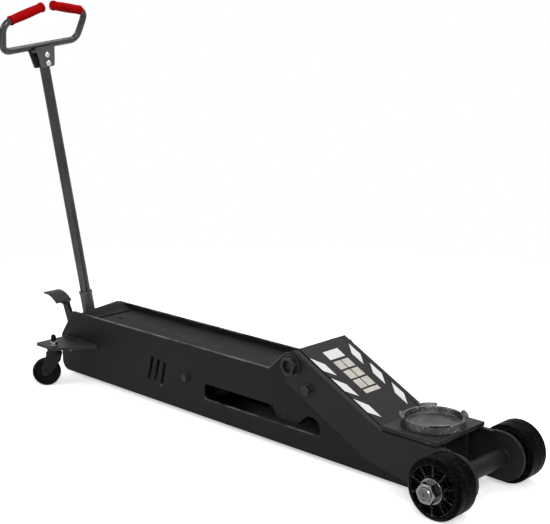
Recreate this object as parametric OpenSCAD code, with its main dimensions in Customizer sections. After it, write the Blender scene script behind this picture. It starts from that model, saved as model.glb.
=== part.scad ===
// Long-chassis hydraulic trolley jack, lowered.
// +X points to the saddle end, +Y to the left side, +Z up. The floor is Z = 0.

/* [Frame] */
// Outside width over the two side rails
frame_w = 190; // [180:1:220]
// Thickness of a side rail plate
rail_t = 6; // [5:0.5:8]
// Height of the rails' lower edge above the floor
rail_low = 13; // [11:1:20]
// Height of the rails' straight top edge above the floor
rail_top = 214; // [208:1:225]
// Distance from the front axle back to the rails' rear end
rail_back = 1533; // [1510:1:1700]
// Distance from the front axle back to the rear top corner of the rails
rail_top_back = 1470; // [1460:1:1480]
// Depth of the sunk deck below the rails' top edge
deck_drop = 17; // [8:1:24]
// Thickness of the deck sheets
deck_t = 4; // [3:0.5:6]
// Length of the long window in each rail
window_l = 437; // [380:1:450]
// Height of the long window
window_h = 45; // [30:1:52]
// Number of vent slots in each rail
vents = 3; // [1:1:4]
// Width of one vent slot
vent_w = 12; // [6:1:16]
// Length of one vent slot
vent_l = 75; // [40:1:90]

/* [Front cheeks] */
// Thickness of the front cheek plates
cheek_t = 10; // [8:0.5:11]
// Thickness of the flange on top of the cheeks
flange_t = 8; // [6:0.5:9]
// Outer bend radius between cheek and flange
bend_r = 8; // [4:1:9]
// Gap between the arm cover and each flange
cover_gap = 2; // [1:0.5:3]
// Radius of the rounded nose round the front axle
nose_r = 64; // [56:1:68]
// Height of the cheeks' top in front
cheek_front_top = 138.5; // [134:0.5:138.5]
// Downward slope of the arm cover and the cheek flanges, in degrees
slope_deg = 27.1; // [26:0.1:27.2]

/* [Lift arm] */
// Height of the main pivot above the floor
pivot_h = 243; // [240:1:246]
// Distance from the front axle back to the main pivot
pivot_back = 512; // [508:1:516]
// Radius of the main pivot shaft
pivot_r = 16; // [12:1:20]
// Distance from the front axle back to the saddle pin
saddle_pin_back = 150; // [146:1:156]
// Height of the saddle pin
saddle_pin_h = 100; // [96:1:104]
// Radius of the saddle pin
saddle_pin_r = 13; // [9:1:15]
// Forward offset of the radius rods from the arm's pivots
rod_dx = 56; // [52:1:60]
// Drop of the radius rods below the arm's pivots
rod_dz = 53; // [50:1:56]
// Radius of the radius rod pins
rod_pin_r = 8; // [6:0.5:10]
// Thickness of one arm side plate
arm_t = 8; // [6:0.5:9]
// Thickness of the arm's top cover
cover_t = 6; // [4:0.5:8]
// Length of the crank that the ram pushes
crank_l = 140; // [136:1:142]
// Angle of the crank behind the vertical, in degrees
crank_deg = 22; // [20:1:24]
// Radius of the crank pin's roller
roller_r = 18; // [15:1:20]
// Radius of the crank pin
crank_pin_r = 12; // [10:1:13]

/* [Saddle] */
// Length of the saddle plate along the jack
plate_l = 166; // [150:1:170]
// Width of the saddle plate
plate_w = 200; // [180:1:210]
// Thickness of the saddle plate
plate_t = 11; // [9:0.5:11]
// Distance from the front axle back to the saddle's centre
saddle_back = 136; // [132:1:140]
// Outer radius of the saddle's foot
saddle_r = 80; // [70:1:82]
// Radius of the saddle's inner wall at the rim
dish_r = 72; // [60:1:74]
// Height of the saddle's rim above its plate
saddle_h = 19.5; // [14:0.5:24]
// Height of the lugs above the saddle's rim
lug_h = 6; // [3:1:10]

/* [Front wheels] */
// Radius of a front wheel
wheel_r = 75; // [70:1:75]
// Width of a front wheel
wheel_w = 75; // [50:1:80]
// Gap between a cheek and the wheel beside it
wheel_gap = 9.3; // [8:0.1:14]
// Radius of the front axle
axle_r = 15; // [12:0.5:18]
// Radius of the tube round the axle between the cheeks
axle_tube_r = 22.5; // [21:0.5:26]
// Number of ribs in a wheel's face
wheel_ribs = 10; // [6:1:12]

/* [Castors] */
// Radius of a castor wheel
castor_r = 43.5; // [38:0.5:45]
// Width of a castor wheel
castor_w = 26; // [18:1:30]
// Distance from the front axle back to the castors' stems
castor_back = 1441; // [1430:1:1455]
// Distance of the castors' stems from the middle plane
castor_out = 192; // [185:1:200]
// Trail of a castor wheel behind its stem
castor_trail = 25; // [15:1:30]
// Direction in which the castors stand, in degrees from the jack's length
castor_turn = 43; // [0:1:90]
// Height of the castor plates' top face
castor_plate_h = 126; // [120:1:135]
// Thickness of the castor plates
castor_plate_t = 9; // [6:1:10]

/* [Handle] */
// Height of the handle's pivot pin
yoke_h = 95; // [90:1:100]
// Distance from the front axle back to the handle's pivot pin
yoke_back = 1487; // [1480:1:1492]
// Backward lean of the handle, in degrees
handle_lean = 3.6; // [0:0.1:6]
// Sideways lean of the handle, in degrees
handle_cant = 7.2; // [0:0.1:7.5]
// Turn of the handlebar about the pole, in degrees
handle_turn = -6.2; // [-12:0.1:12]
// Outer radius of the pole
pole_r = 16; // [14:0.5:17]
// Distance from the pivot pin to the clamp's saddle under the handlebar
pole_l = 948; // [800:1:1100]
// Wall of the handle tube
pole_wall = 2.5; // [2:0.5:4]
// Outer radius of the handle socket
socket_r = 20; // [19:0.5:22]
// Distance from the pivot pin to the socket's mouth
socket_l = 170; // [150:1:190]
// Half width of the handlebar's straight lower run
bar_half = 148; // [120:1:160]
// Radius of the handlebar's tube
bar_r = 10.4; // [8:0.1:12]
// Height of the handlebar over its lower run
bar_h = 129; // [110:1:150]
// Forward tilt of the handlebar against the pole, in degrees
bar_tilt = 28.6; // [0:0.1:35]
// Outward flare of the handlebar's sides
bar_flare = 18; // [0:1:30]
// Gap between the two grips
grip_gap = 32; // [20:1:60]
// Radius of a rubber grip
grip_r = 14.6; // [13:0.1:17]
// Length of a rubber grip
grip_l = 124; // [90:1:130]
// Height of the two clamp plates
clamp_h = 62; // [50:1:90]
// Distance between the two clamp bolts
clamp_pitch = 25; // [20:1:40]

// Radius of the handle's pivot pin
handle_pin_r = 10; // [8:0.5:12]

/* [Pedal] */
// Width of the pedal's tread plate
pedal_w = 58; // [50:1:60]
// Distance of the middle of the tread plate from the rail beside it
tread_in = 14; // [11:1:15]
// Distance of the pedal's stem and plunger from the rail beside it
stem_in = 25; // [24:0.5:27]
// Thickness of the tread plate
pedal_t = 5; // [4:0.5:7]

/* [Hydraulics] */
// Height of the ram's axis
ram_h = 95; // [90:1:100]
// Outer radius of the ram cylinder
cylinder_r = 46; // [42:1:50]
// Radius of the cylinder's bore
bore_r = 36; // [30:1:38]
// Radius of the piston rod
rod_r = 20; // [14:0.5:24]
// Outer radius of the oil tank round the cylinder
tank_r = 74; // [66:1:78]

/* [Fits] */
// Radial clearance of a shaft in its bore
run_gap = 0.05; // [0.03:0.01:0.1]
// Gap between pieces that are welded or bolted together
seat_gap = 0.2; // [0.1:0.05:0.3]
// Side gap between pieces that move past each other
side_gap = 1.5; // [1:0.1:2]

/* [Hidden] */
$fn = 64;

// The origin is on the floor under the centre of the whole jack's box, with its leaning handle.
axle_x = 768.2;
mid_y = 23.96;

// Half widths, from the middle plane outwards
rail_out = frame_w / 2;
rail_in = rail_out - rail_t;
cheek_in = rail_out + seat_gap;
cheek_out = cheek_in + cheek_t;
flange_in = rail_in - cover_gap;
cover_half = flange_in - cover_gap;
rod_t = 5;
rod_out = cover_half - 0.2;
rod_in = rod_out - rod_t;
arm_out = rod_in - side_gap;
arm_in = arm_out - arm_t;
deck_half = rail_in - seat_gap;

// Points in the side view, measured from the front axle's line
pivot = [-pivot_back, pivot_h];
saddle_pin = [-saddle_pin_back, saddle_pin_h];
rod_offset = [rod_dx, -rod_dz];
rod_anchor = pivot + rod_offset;
rod_tip = saddle_pin + rod_offset;
crank = pivot + crank_l * [-sin(crank_deg), -cos(crank_deg)];
axle = [0, wheel_r];
yoke = [-yoke_back, yoke_h];

// The cheeks' sloped top runs from the knee up to the peak over the main pivot
knee = [-222, cheek_front_top];
peak_back = 505;
slope_dir = [-cos(slope_deg), sin(slope_deg)];
slope_nrm = [sin(slope_deg), cos(slope_deg)];
slope_l = (peak_back + knee[0]) / cos(slope_deg);
peak = knee + slope_l * slope_dir;
hump_foot = [pivot[0] - 93, rail_top];
hump_top = pivot + [-36, 24];
rear_edge_h = 128;
rail_front = -78;
rail_front_low = 38;
rail_toe = 26;

plate_low = cheek_front_top + 1.7;
plate_top = plate_low + plate_t;
wheel_in = cheek_out + wheel_gap;
wheel_out = wheel_in + wheel_w;
deck_top = rail_top - deck_drop;
deck_front = -600;
deck_rear = -1408;
block_front = -1334;
block_back = -1440;
block_half = rail_in - 12;
pedal_out = rail_in - tread_in;
stem_out = rail_in - stem_in;
cylinder_front = -890;
tank_front = -1090;
bulkhead_x = -936;
bolt_af = 19;
plunger_r = 9;
plunger_h = yoke_h - 26;
fork_gap = 2;
fork_t = 3.5;
fork_head_h = 100;

// ---------- helpers ----------

function unit(v) = v / norm(v);

// Points of an arc that rounds the corner p between its neighbours a and b
function corner_arc(a, p, b, r, n) =
    r <= 0 ? [[p[0], p[1]]] :
    let (
        u = unit([a[0] - p[0], a[1] - p[1]]),
        w = unit([b[0] - p[0], b[1] - p[1]]),
        half = acos(u * w) / 2,
        c = [p[0], p[1]] + unit(u + w) * r / sin(half),
        s = [p[0], p[1]] + u * r / tan(half),
        e = [p[0], p[1]] + w * r / tan(half),
        a0 = atan2(s[1] - c[1], s[0] - c[0]),
        turn = atan2(e[1] - c[1], e[0] - c[0]) - a0,
        sweep = turn > 180 ? turn - 360 : turn < -180 ? turn + 360 : turn
    )
    [for (i = [0:n]) c + r * [cos(a0 + sweep * i / n), sin(a0 + sweep * i / n)]];

// An outline whose points [x, y, r] are rounded by their own radius r
function rounded(pts, n = 6) = [
    for (i = [0:len(pts) - 1])
        each corner_arc(pts[(i + len(pts) - 1) % len(pts)], pts[i], pts[(i + 1) % len(pts)],
                        pts[i][2], n)
];

// Moves a piece from the front axle's line into the jack's frame
module place() translate([axle_x, mid_y, 0]) children();

// Mirrors a left-hand piece to the right side
module on_side(side) mirror([0, side < 0 ? 1 : 0, 0]) children();

// Stands a side-view outline up between two distances from the middle plane
module slab(y0, y1) translate([0, y1, 0]) rotate([90, 0, 0]) linear_extrude(y1 - y0) children();

// A round bar across the jack at the side-view point p
module bar_y(p, r, y0, y1) translate([p[0], y1, p[1]]) rotate([90, 0, 0]) cylinder(r = r, h = y1 - y0);

// A round bar along the jack
module bar_x(x0, x1, y, z, r) translate([x0, y, z]) rotate([0, 90, 0]) cylinder(r = r, h = x1 - x0);

// A hexagon nut or bolt head across the jack
module hex_y(p, af, y0, y1)
    translate([p[0], y1, p[1]]) rotate([90, 0, 0]) cylinder(r = af / sqrt(3), h = y1 - y0, $fn = 6);

// ---------- frame ----------

window_back = -858;
window_low = 68;
window = [
    [window_back, window_low, 8], [window_back, window_low + window_h, 10],
    [window_back + window_l, window_low + window_h, 30], [window_back + window_l, window_low, 10]
];
vent_x = -1092;
vent_mid = 109;
vent_fall = 4;
vent_step = 28;
vent_lean = 15;

// Distance of the rails' sloped top below the cheeks' outer top
rail_under = flange_t + 0.5;

module rail_outline() {
    start = peak - rail_under * slope_nrm;
    polygon(rounded([
        [-rail_back, rail_low, 30],
        [-rail_back, rear_edge_h, 10],
        [-rail_top_back, rail_top, 12],
        [hump_foot[0], hump_foot[1], 8],
        [hump_top[0], hump_top[1], 16],
        [start[0] - 6, start[1] + 1, 12],
        [knee[0] - 8, knee[1] - rail_under - 1, 10],
        [rail_front, knee[1] - rail_under - 1, 8],
        [rail_front, rail_front_low, 8],
        [rail_front - rail_toe, rail_low, 8]
    ]));
}

module rail_holes() {
    polygon(rounded(window));
    for (i = [0:vents - 1])
        translate([vent_x + i * vent_step, vent_mid - i * vent_fall])
            rotate(-vent_lean)
                translate([-vent_w / 2, -vent_l / 2])
                    polygon(rounded([
                        [0, 0, 4], [vent_w, 0, 4], [vent_w, vent_l, 4], [0, vent_l, 4]
                    ]));
    translate(pivot) circle(r = pivot_r + run_gap);
    translate(rod_anchor) circle(r = rod_pin_r + run_gap);
    translate(yoke) circle(r = handle_pin_r + run_gap);
    translate(side_bolt) circle(r = side_bolt_r + run_gap);
}

module rail(side) color([0.13, 0.13, 0.14]) place() on_side(side)
    slab(rail_in, rail_out) difference() {
        rail_outline();
        rail_holes();
    }

module rail_left() rail(1);
module rail_right() rail(-1);

// Cuts the outer bend along the edge that starts at p and runs along dir
module bend_cut_run(p, dir, l)
    translate([p[0], cheek_out, p[1]])
        rotate([0, -atan2(dir[1], dir[0]), 0])
            rotate([90, 0, 90])
                mirror([1, 0, 0])
                    linear_extrude(l) polygon([
                        [-1, 1], [bend_r, 1],
                        each corner_arc([bend_r + 1, 0], [0, 0], [0, -bend_r - 1], bend_r, 6),
                        [-1, -bend_r]
                    ]);

flange_end = -22;

module cheek_outline() difference() {
    polygon(rounded([
        [pivot[0] - 38, pivot[1] + 19, 22],
        [peak[0] - 3, peak[1], 3],
        [knee[0], knee[1], 0],
        [nose_r, knee[1], nose_r - 2],
        [nose_r, axle[1] - nose_r, nose_r - 2],
        [-60, axle[1] - nose_r + 4, 40],
        [-258, 52, 120],
        [-538, 196, 24]
    ]));
    translate(pivot) circle(r = pivot_r + run_gap);
    translate(rod_anchor) circle(r = rod_pin_r + run_gap);
    translate(axle) circle(r = axle_r + run_gap);
}

// The flange seen from the side: a strip under the sloped and the level edge
module flange_outline() polygon([
    peak - 6 * slope_nrm + [4, 0], peak - [0, 1.5], knee, [flange_end, knee[1]],
    [flange_end, knee[1] - flange_t], knee - flange_t * [tan(slope_deg / 2), 1],
    peak - flange_t * slope_nrm
]);

// A weld bead fills the corner where the two folded edges meet
knee_weld = 3;

module cheek(side) color([0.12, 0.12, 0.13]) place() on_side(side) difference() {
    union() {
        slab(cheek_in, cheek_out) cheek_outline();
        slab(flange_in, cheek_in) flange_outline();
    }
    bend_cut_run(peak + 40 * slope_dir, -slope_dir, slope_l + 40 - knee_weld / 2);
    bend_cut_run(knee + [knee_weld / 2, 0], [1, 0], flange_end - knee[0] - knee_weld / 2);
}

module cheek_left() cheek(1);
module cheek_right() cheek(-1);

// Hole over the tank's filler, and stiffening ribs under the deck
filler_back = 60;
filler_r = 7;
deck_rib_w = 12;
deck_rib_h = 14;

module deck_cover() color([0.2, 0.2, 0.21]) place() {
    difference() {
        translate([deck_rear, -deck_half, deck_top - deck_t])
            cube([deck_front - deck_rear, 2 * deck_half, deck_t]);
        translate([deck_rear + filler_back, 0, deck_top - deck_t - 1]) cylinder(r = filler_r, h = deck_t + 2);
    }
    for (x = [deck_rear + 20, (deck_rear + deck_front) / 2, deck_front - 20 - deck_rib_w])
        translate([x, -deck_half, deck_top - deck_t - deck_rib_h])
            cube([deck_rib_w, 2 * deck_half, deck_rib_h + 1]);
}

rear_deck_left = -1474;
rear_deck_right = -1433;

// The raised plate at the rear, cut on a slant to leave room for the pedal
module rear_deck() color([0.18, 0.18, 0.19]) place() {
    translate([0, 0, rail_top - deck_t]) linear_extrude(deck_t) polygon([
        [deck_rear, -deck_half], [deck_rear, deck_half],
        [rear_deck_left, deck_half], [rear_deck_right, -deck_half]
    ]);
    translate([deck_rear - deck_t, -deck_half, deck_top + seat_gap])
        cube([deck_t, 2 * deck_half, deck_drop - deck_t - seat_gap]);
}

brace_t = 6;
belly_t = 4;
brace_lift = 2;
rear_brace_x = [-1400, -1250];
tail_brace_x = [-1500, -1470];
belly_x = [window[0][0] - 50, -400];
belly_edge = 10;
tie_bar = [-330, 36];
tie_bar_r = 14;

// A sheet across the rails' lower edges between the two distances x
module bottom_sheet(x, t) translate([x[0], -deck_half, rail_low + brace_lift])
    cube([x[1] - x[0], 2 * deck_half, t]);

module rear_brace() color([0.14, 0.14, 0.15]) place() {
    bottom_sheet(rear_brace_x, brace_t);
    bottom_sheet(tail_brace_x, brace_t);
}

// Round tie bar under the arm, and the belly sheet that closes the chassis under the window
module front_brace() color([0.14, 0.14, 0.15]) place() {
    bar_y(tie_bar, tie_bar_r, -deck_half, deck_half);
    bottom_sheet(belly_x, belly_t);
    for (x = [belly_x[0], belly_x[1] - belly_t])
        bottom_sheet([x, x + belly_t], belly_edge);
}

bulkhead_t = 18;
bulkhead_low = 24;
bulkhead_h = 140;
side_bolt = [bulkhead_x, 112];
side_bolt_r = 6;
side_bolt_l = 25;
washer_t = 2;
head_h = 7;

module cylinder_bulkhead() color([0.14, 0.14, 0.15]) place() difference() {
    translate([bulkhead_x - bulkhead_t / 2, -deck_half, bulkhead_low])
        cube([bulkhead_t, 2 * deck_half, bulkhead_h]);
    bar_x(bulkhead_x - bulkhead_t, bulkhead_x + bulkhead_t, 0, ram_h, cylinder_r + seat_gap);
    for (side = [-1, 1])
        on_side(side) bar_y(side_bolt, side_bolt_r, rail_in - side_bolt_l - 4, deck_half + 1);
}

module side_bolts() color([0.6, 0.6, 0.6]) place() for (side = [-1, 1]) on_side(side) {
    seat = rail_out + seat_gap;
    bar_y(side_bolt, side_bolt_r - run_gap, rail_in - side_bolt_l, seat + 1);
    bar_y(side_bolt, 2 * side_bolt_r, seat, seat + washer_t);
    hex_y(side_bolt, bolt_af, seat + washer_t, seat + washer_t + head_h);
}

// ---------- front axle and wheels ----------

module axle_tube() color([0.14, 0.14, 0.15]) place() difference() {
    bar_y(axle, axle_tube_r, -cheek_in + seat_gap, cheek_in - seat_gap);
    bar_y(axle, axle_r + 1, -cheek_in - 1, cheek_in + 1);
}

end_play = 0.3;
spacer_t = 3;
axle_washer_t = 4;
axle_washer_r = 31;
axle_nut_af = 46;
axle_nut_h = 22;
axle_end = 5;
centre_r = 4;
hub_in = cheek_out + spacer_t;
nut_y = wheel_out + end_play + axle_washer_t;

module front_axle() color([0.5, 0.5, 0.5]) place() difference() {
    bar_y(axle, axle_r, -nut_y - axle_nut_h - axle_end, nut_y + axle_nut_h + axle_end);
    for (side = [-1, 1])
        on_side(side) bar_y(axle, centre_r, nut_y + axle_nut_h + 2, nut_y + axle_nut_h + axle_end + 1);
}

module axle_nuts() color([0.75, 0.75, 0.74]) place() for (side = [-1, 1]) on_side(side) {
    difference() {
        union() {
            bar_y(axle, axle_washer_r, wheel_out + end_play, nut_y);
            hex_y(axle, axle_nut_af, nut_y, nut_y + axle_nut_h);
            bar_y(axle, axle_r + 7, cheek_out + seat_gap, hub_in);
        }
        bar_y(axle, axle_r + run_gap, cheek_out, nut_y + axle_nut_h + 1);
    }
}

hub_r = 34;
rim_r = 60;
face_depth = 16;
groove = 3;
rib_t = 3.2;

// Half section of the wheel: tyre with a rounded shoulder, rim and hub
module wheel_section() polygon(rounded([
    [axle_r + run_gap, hub_in + end_play - wheel_in, 0],
    [axle_r + run_gap, wheel_w, 0],
    [hub_r, wheel_w, 1.5],
    [hub_r + 2, wheel_w - face_depth, 2],
    [rim_r - 2, wheel_w - face_depth, 2],
    [rim_r, wheel_w, 1],
    [wheel_r - 9, wheel_w, 2],
    [wheel_r, wheel_w - 8, 7],
    [wheel_r, wheel_w / 2 + groove, 1],
    [wheel_r - groove, wheel_w / 2, 1],
    [wheel_r, wheel_w / 2 - groove, 1],
    [wheel_r, 5, 5],
    [wheel_r - 11, 0, 4],
    [hub_r + 2, 0, 1],
    [hub_r, hub_in + end_play - wheel_in, 1]
]));

module front_wheel(side) color([0.07, 0.07, 0.07]) place() on_side(side)
    translate([0, wheel_in, axle[1]]) rotate([-90, 0, 0]) {
        difference() {
            rotate_extrude($fn = 96) wheel_section();
            translate([0, 0, hub_in - wheel_in - 8]) cylinder(r = hub_r, h = 8.5);
        }
        for (i = [0:wheel_ribs - 1])
            rotate([0, 0, (i + 0.5) * 360 / wheel_ribs])
                translate([hub_r - 1, -rib_t / 2, wheel_w - face_depth - 1])
                    cube([rim_r - hub_r + 2, rib_t, face_depth]);
    }

module front_wheel_left() front_wheel(1);
module front_wheel_right() front_wheel(-1);

// ---------- castors ----------

module castor_plate(side) color([0.14, 0.14, 0.15]) place() on_side(side)
    translate([0, 0, castor_plate_h - castor_plate_t]) difference() {
        linear_extrude(castor_plate_t) polygon(rounded([
            [-1510, rail_out + seat_gap, 0],
            [-1510, castor_out + 18, 5],
            [-castor_back + 20, castor_out + 18, 12],
            [-1342, rail_out + seat_gap, 3]
        ]));
        translate([-castor_back, castor_out, -1]) cylinder(r = 8 + run_gap, h = castor_plate_t + 2);
    }

module castor_plate_left() castor_plate(1);
module castor_plate_right() castor_plate(-1);

// Stud, nut and domed cap that hold each castor to its plate
module castor_studs() color([0.75, 0.75, 0.74]) place() for (side = [-1, 1]) on_side(side)
    translate([-castor_back, castor_out, 0]) {
        translate([0, 0, fork_head_h - 5]) cylinder(r = 8, h = castor_plate_h + 34 - fork_head_h);
        translate([0, 0, castor_plate_h + seat_gap]) cylinder(r = 15, h = 2.5);
        translate([0, 0, castor_plate_h + 2.5]) cylinder(r = 24 / sqrt(3), h = 13, $fn = 6);
        translate([0, 0, castor_plate_h + 29]) sphere(r = 8);
        translate([0, 0, fork_head_h - 9]) cylinder(r = 13, h = 5);
    }

// Turns a castor's pieces about its stem; local +X points against the trail
module castor_place(side) place() on_side(side)
    translate([-castor_back, castor_out, 0]) rotate([0, 0, -castor_turn]) children();

castor_leg_in = castor_w / 2 + fork_gap;

module castor_fork(side) color([0.1, 0.1, 0.1]) castor_place(side) {
    leg = rounded([
        [-22, fork_head_h - 1, 4], [22, fork_head_h - 1, 4], [16, 74, 14],
        [-castor_trail + 11, castor_r - 8, 8], [-castor_trail - 11, castor_r - 8, 8],
        [-castor_trail - 13, castor_r + 12, 12]
    ]);
    difference() {
        union() {
            translate([0, 0, fork_head_h]) cylinder(r = 25, h = 6);
            translate([0, 0, fork_head_h + 6])
                cylinder(r = 21, h = castor_plate_h - castor_plate_t - fork_head_h - 6.3);
            translate([-22, -castor_leg_in - fork_t, fork_head_h - 4])
                cube([44, 2 * (castor_leg_in + fork_t), 5]);
            for (y = [-castor_leg_in - fork_t, castor_leg_in])
                slab(y, y + fork_t) polygon(leg);
        }
        translate([0, 0, fork_head_h - 20]) cylinder(r = 8 + run_gap, h = 60);
        translate([0, 0, fork_head_h - 20]) cylinder(r = 14, h = 16);
    }
    bar_y([-castor_trail, castor_r], 5, -castor_leg_in - fork_t - 3, castor_leg_in + fork_t + 3);
    for (side2 = [-1, 1]) on_side(side2)
        hex_y([-castor_trail, castor_r], 15, castor_leg_in + fork_t - 0.5, castor_leg_in + fork_t + 6);
}

module castor_fork_left() castor_fork(1);
module castor_fork_right() castor_fork(-1);

module castor_wheel(side) color([0.08, 0.08, 0.08]) castor_place(side)
    translate([-castor_trail, castor_w / 2, castor_r]) rotate([90, 0, 0])
        rotate_extrude() polygon(rounded([
            [5 + run_gap, -1.5, 0], [12, -1.5, 1], [13, 5, 2], [31, 5, 2], [33, 0, 1],
            [castor_r - 4, 0, 2], [castor_r, 6, 5], [castor_r, castor_w - 6, 5],
            [castor_r - 4, castor_w, 2], [33, castor_w, 1], [31, castor_w - 5, 2],
            [13, castor_w - 5, 2], [12, castor_w + 1.5, 1], [5 + run_gap, castor_w + 1.5, 0]
        ]));

module castor_wheel_left() castor_wheel(1);
module castor_wheel_right() castor_wheel(-1);

// ---------- pivots in the frame ----------

pivot_end = 9;
pivot_washer_r = 29;
pivot_washer_t = 4;
pivot_nut_af = 44;
pivot_nut_h = 16;
anchor_washer_t = 3;
anchor_head_af = 24;
anchor_head_h = 10;

module main_pivot_shaft() color([0.4, 0.4, 0.4]) place()
    bar_y(pivot, pivot_r, -cheek_out - pivot_end, cheek_out + pivot_end);

module main_pivot_nuts() color([0.16, 0.16, 0.17]) place() for (side = [-1, 1]) on_side(side)
    difference() {
        union() {
            bar_y(pivot, pivot_washer_r, cheek_out + seat_gap, cheek_out + pivot_washer_t);
            hex_y(pivot, pivot_nut_af, cheek_out + pivot_washer_t, cheek_out + pivot_washer_t + pivot_nut_h);
        }
        bar_y(pivot, pivot_r + run_gap, cheek_out, cheek_out + pivot_end + run_gap);
    }

module rod_anchor_bolts() color([0.3, 0.3, 0.3]) place() for (side = [-1, 1]) on_side(side) {
    head = cheek_out + anchor_washer_t;
    bar_y(rod_anchor, rod_pin_r, rod_in - 0.3, head + 2);
    bar_y(rod_anchor, rod_pin_r + 7, cheek_out + seat_gap, head);
    hex_y(rod_anchor, anchor_head_af, head, head + anchor_head_h);
}

module handle_pin() color([0.5, 0.5, 0.5]) place() {
    bar_y(yoke, handle_pin_r, -rail_out - 6, rail_out + 6);
    for (side = [-1, 1]) on_side(side) bar_y(yoke, 1.5 * handle_pin_r, rail_out + seat_gap, rail_out + 3);
}

// ---------- hydraulics ----------

block_low = 34;
block_h = 122;
barrel_r = 20;
valve = [34, 130];
valve_r = 6;

// The plungers' heads lie against the handle's roller and the pedal's nose
roller_out = 12;
roller_pin_r = 5;
yoke_slot = 21;
head_r = plunger_r + 1;
head_t = 4.6;
head_x = yoke[0] + roller_out + 0.4;
foot_plunger_r = plunger_r - 2;

// The barrels stop short of the plunger's head at the end of its stroke
plunger_stroke = 21;
barrel_l = block_back - head_x - head_t - plunger_stroke - 0.5;

module pump_block() color([0.16, 0.16, 0.17]) place() difference() {
    union() {
        translate([block_back, -block_half, block_low])
            cube([block_front - block_back, 2 * block_half, block_h]);
        bar_x(block_back - barrel_l, block_back + 1, 0, plunger_h, barrel_r);
        bar_x(block_back - barrel_l, block_back + 1, -stem_out, plunger_h, foot_plunger_r + 4.8);
        translate([block_back + 20, -deck_half, block_low + 16]) cube([60, 2 * deck_half, block_h - 32]);
    }
    bar_x(block_back - barrel_l - 1, block_back + 70, 0, plunger_h, plunger_r + run_gap);
    bar_x(block_back - barrel_l - 1, block_back + 70, -stem_out, plunger_h, foot_plunger_r + run_gap);
    bar_x(block_back - 1, block_back + 50, valve[0], valve[1], valve_r + run_gap);
}

tank_wall = 5;
tank_end = 8;
cylinder_end = 24;
gland_l = 24;
gland_nose = 14;

module oil_tank() color([0.14, 0.14, 0.15]) place() difference() {
    bar_x(block_front + seat_gap, tank_front, 0, ram_h, tank_r);
    bar_x(block_front, tank_front - tank_end, 0, ram_h, tank_r - tank_wall);
    bar_x(block_front, tank_front + 1, 0, ram_h, cylinder_r + seat_gap);
}

module ram_cylinder() color([0.2, 0.2, 0.21]) place() difference() {
    bar_x(block_front + seat_gap, cylinder_front, 0, ram_h, cylinder_r);
    bar_x(block_front + cylinder_end, cylinder_front + 1, 0, ram_h, bore_r);
}

module ram_gland() color([0.35, 0.35, 0.36]) place() difference() {
    union() {
        bar_x(cylinder_front - gland_l, cylinder_front + seat_gap, 0, ram_h, bore_r - run_gap);
        bar_x(cylinder_front + seat_gap, cylinder_front + gland_nose, 0, ram_h, cylinder_r - 2);
    }
    bar_x(cylinder_front - gland_l - 1, cylinder_front + gland_nose + 1, 0, ram_h, rod_r + run_gap);
}

piston_x = block_front + cylinder_end + 20;
piston_l = 34;
rod_socket = 20;
fork_in = 30;
fork_out = 42;
slot_low = 20;
slot_h = 80;
slot_half = roller_r + 4;
head_back = crank[0] - 90;

// Fork on the end of the piston rod; the crank's roller works in its upright slots
module crosshead() color([0.22, 0.22, 0.23]) place() difference() {
    union() {
        for (side = [-1, 1]) on_side(side)
            slab(fork_in, fork_out) difference() {
                polygon(rounded([
                    [head_back, ram_h - 28, 8], [head_back, ram_h + 28, 8],
                    [crank[0] - slot_half - 14, ram_h + 74, 14],
                    [crank[0] + slot_half + 14, ram_h + 74, 14],
                    [crank[0] + slot_half + 14, ram_h - 36, 14],
                    [crank[0] - slot_half - 14, ram_h - 36, 14]
                ]));
                translate([crank[0] - slot_half, ram_h - slot_low])
                    square([2 * slot_half, slot_h]);
            }
        translate([head_back, -fork_in - 0.5, ram_h - rod_r - 4])
            cube([34, 2 * fork_in + 1, 2 * rod_r + 8]);
    }
    bar_x(head_back - 1, head_back + rod_socket, 0, ram_h, rod_r + run_gap);
}

module piston() color([0.75, 0.75, 0.76]) place() {
    bar_x(piston_x, piston_x + piston_l, 0, ram_h, bore_r - run_gap - 0.03);
    bar_x(piston_x + piston_l - 4, head_back + rod_socket - seat_gap, 0, ram_h, rod_r);
}

module hand_plunger() color([0.75, 0.75, 0.76]) place() {
    bar_x(head_x, block_back + 38, 0, plunger_h, plunger_r);
    bar_x(head_x, head_x + head_t, 0, plunger_h, head_r);
}

module foot_plunger() color([0.75, 0.75, 0.76]) place() {
    bar_x(head_x + 0.2, block_back + 38, -stem_out, plunger_h, foot_plunger_r);
    bar_x(head_x + 0.2, head_x + head_t, -stem_out, plunger_h, foot_plunger_r + 2);
}

module release_valve() color([0.7, 0.7, 0.7]) place() {
    bar_x(block_back - 22, block_back + 48, valve[0], valve[1], valve_r);
    translate([block_back - 24, valve[0], valve[1]]) rotate([0, 90, 0])
        cylinder(r = 1.5 * valve_r, h = 8, $fn = 6);
}

// ---------- lift arm ----------

// Height of the cover's top line at x
function slope_z(x) = knee[1] + (knee[0] - x) * tan(slope_deg);

cover_rear = -507;
cover_front = -226;

module arm_outline() {
    under = cover_t / cos(slope_deg) + seat_gap;
    difference() {
        union() {
            polygon(rounded([
                [-553, 250, 26],
                [-520, slope_z(-520) - under - 8, 16],
                [cover_front + 8, slope_z(cover_front + 8) - under, 14],
                [saddle_pin[0] + 30, saddle_pin[1] + 31, 29],
                [saddle_pin[0] + 30, saddle_pin[1] - 31, 29],
                [saddle_pin[0] - 36, saddle_pin[1] - 31, 40],
                [-430, 146, 70],
                [crank[0] + 44, crank[1] - 42, 40],
                [crank[0] - 42, crank[1] - 42, 40],
                [crank[0] - 42, crank[1] + 24, 60]
            ]));
        }
        translate(pivot) circle(r = pivot_r + run_gap);
        translate(saddle_pin) circle(r = saddle_pin_r + run_gap);
        translate(crank) circle(r = crank_pin_r + run_gap);
        translate([-385, 176]) circle(r = 18);
    }
}

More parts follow.
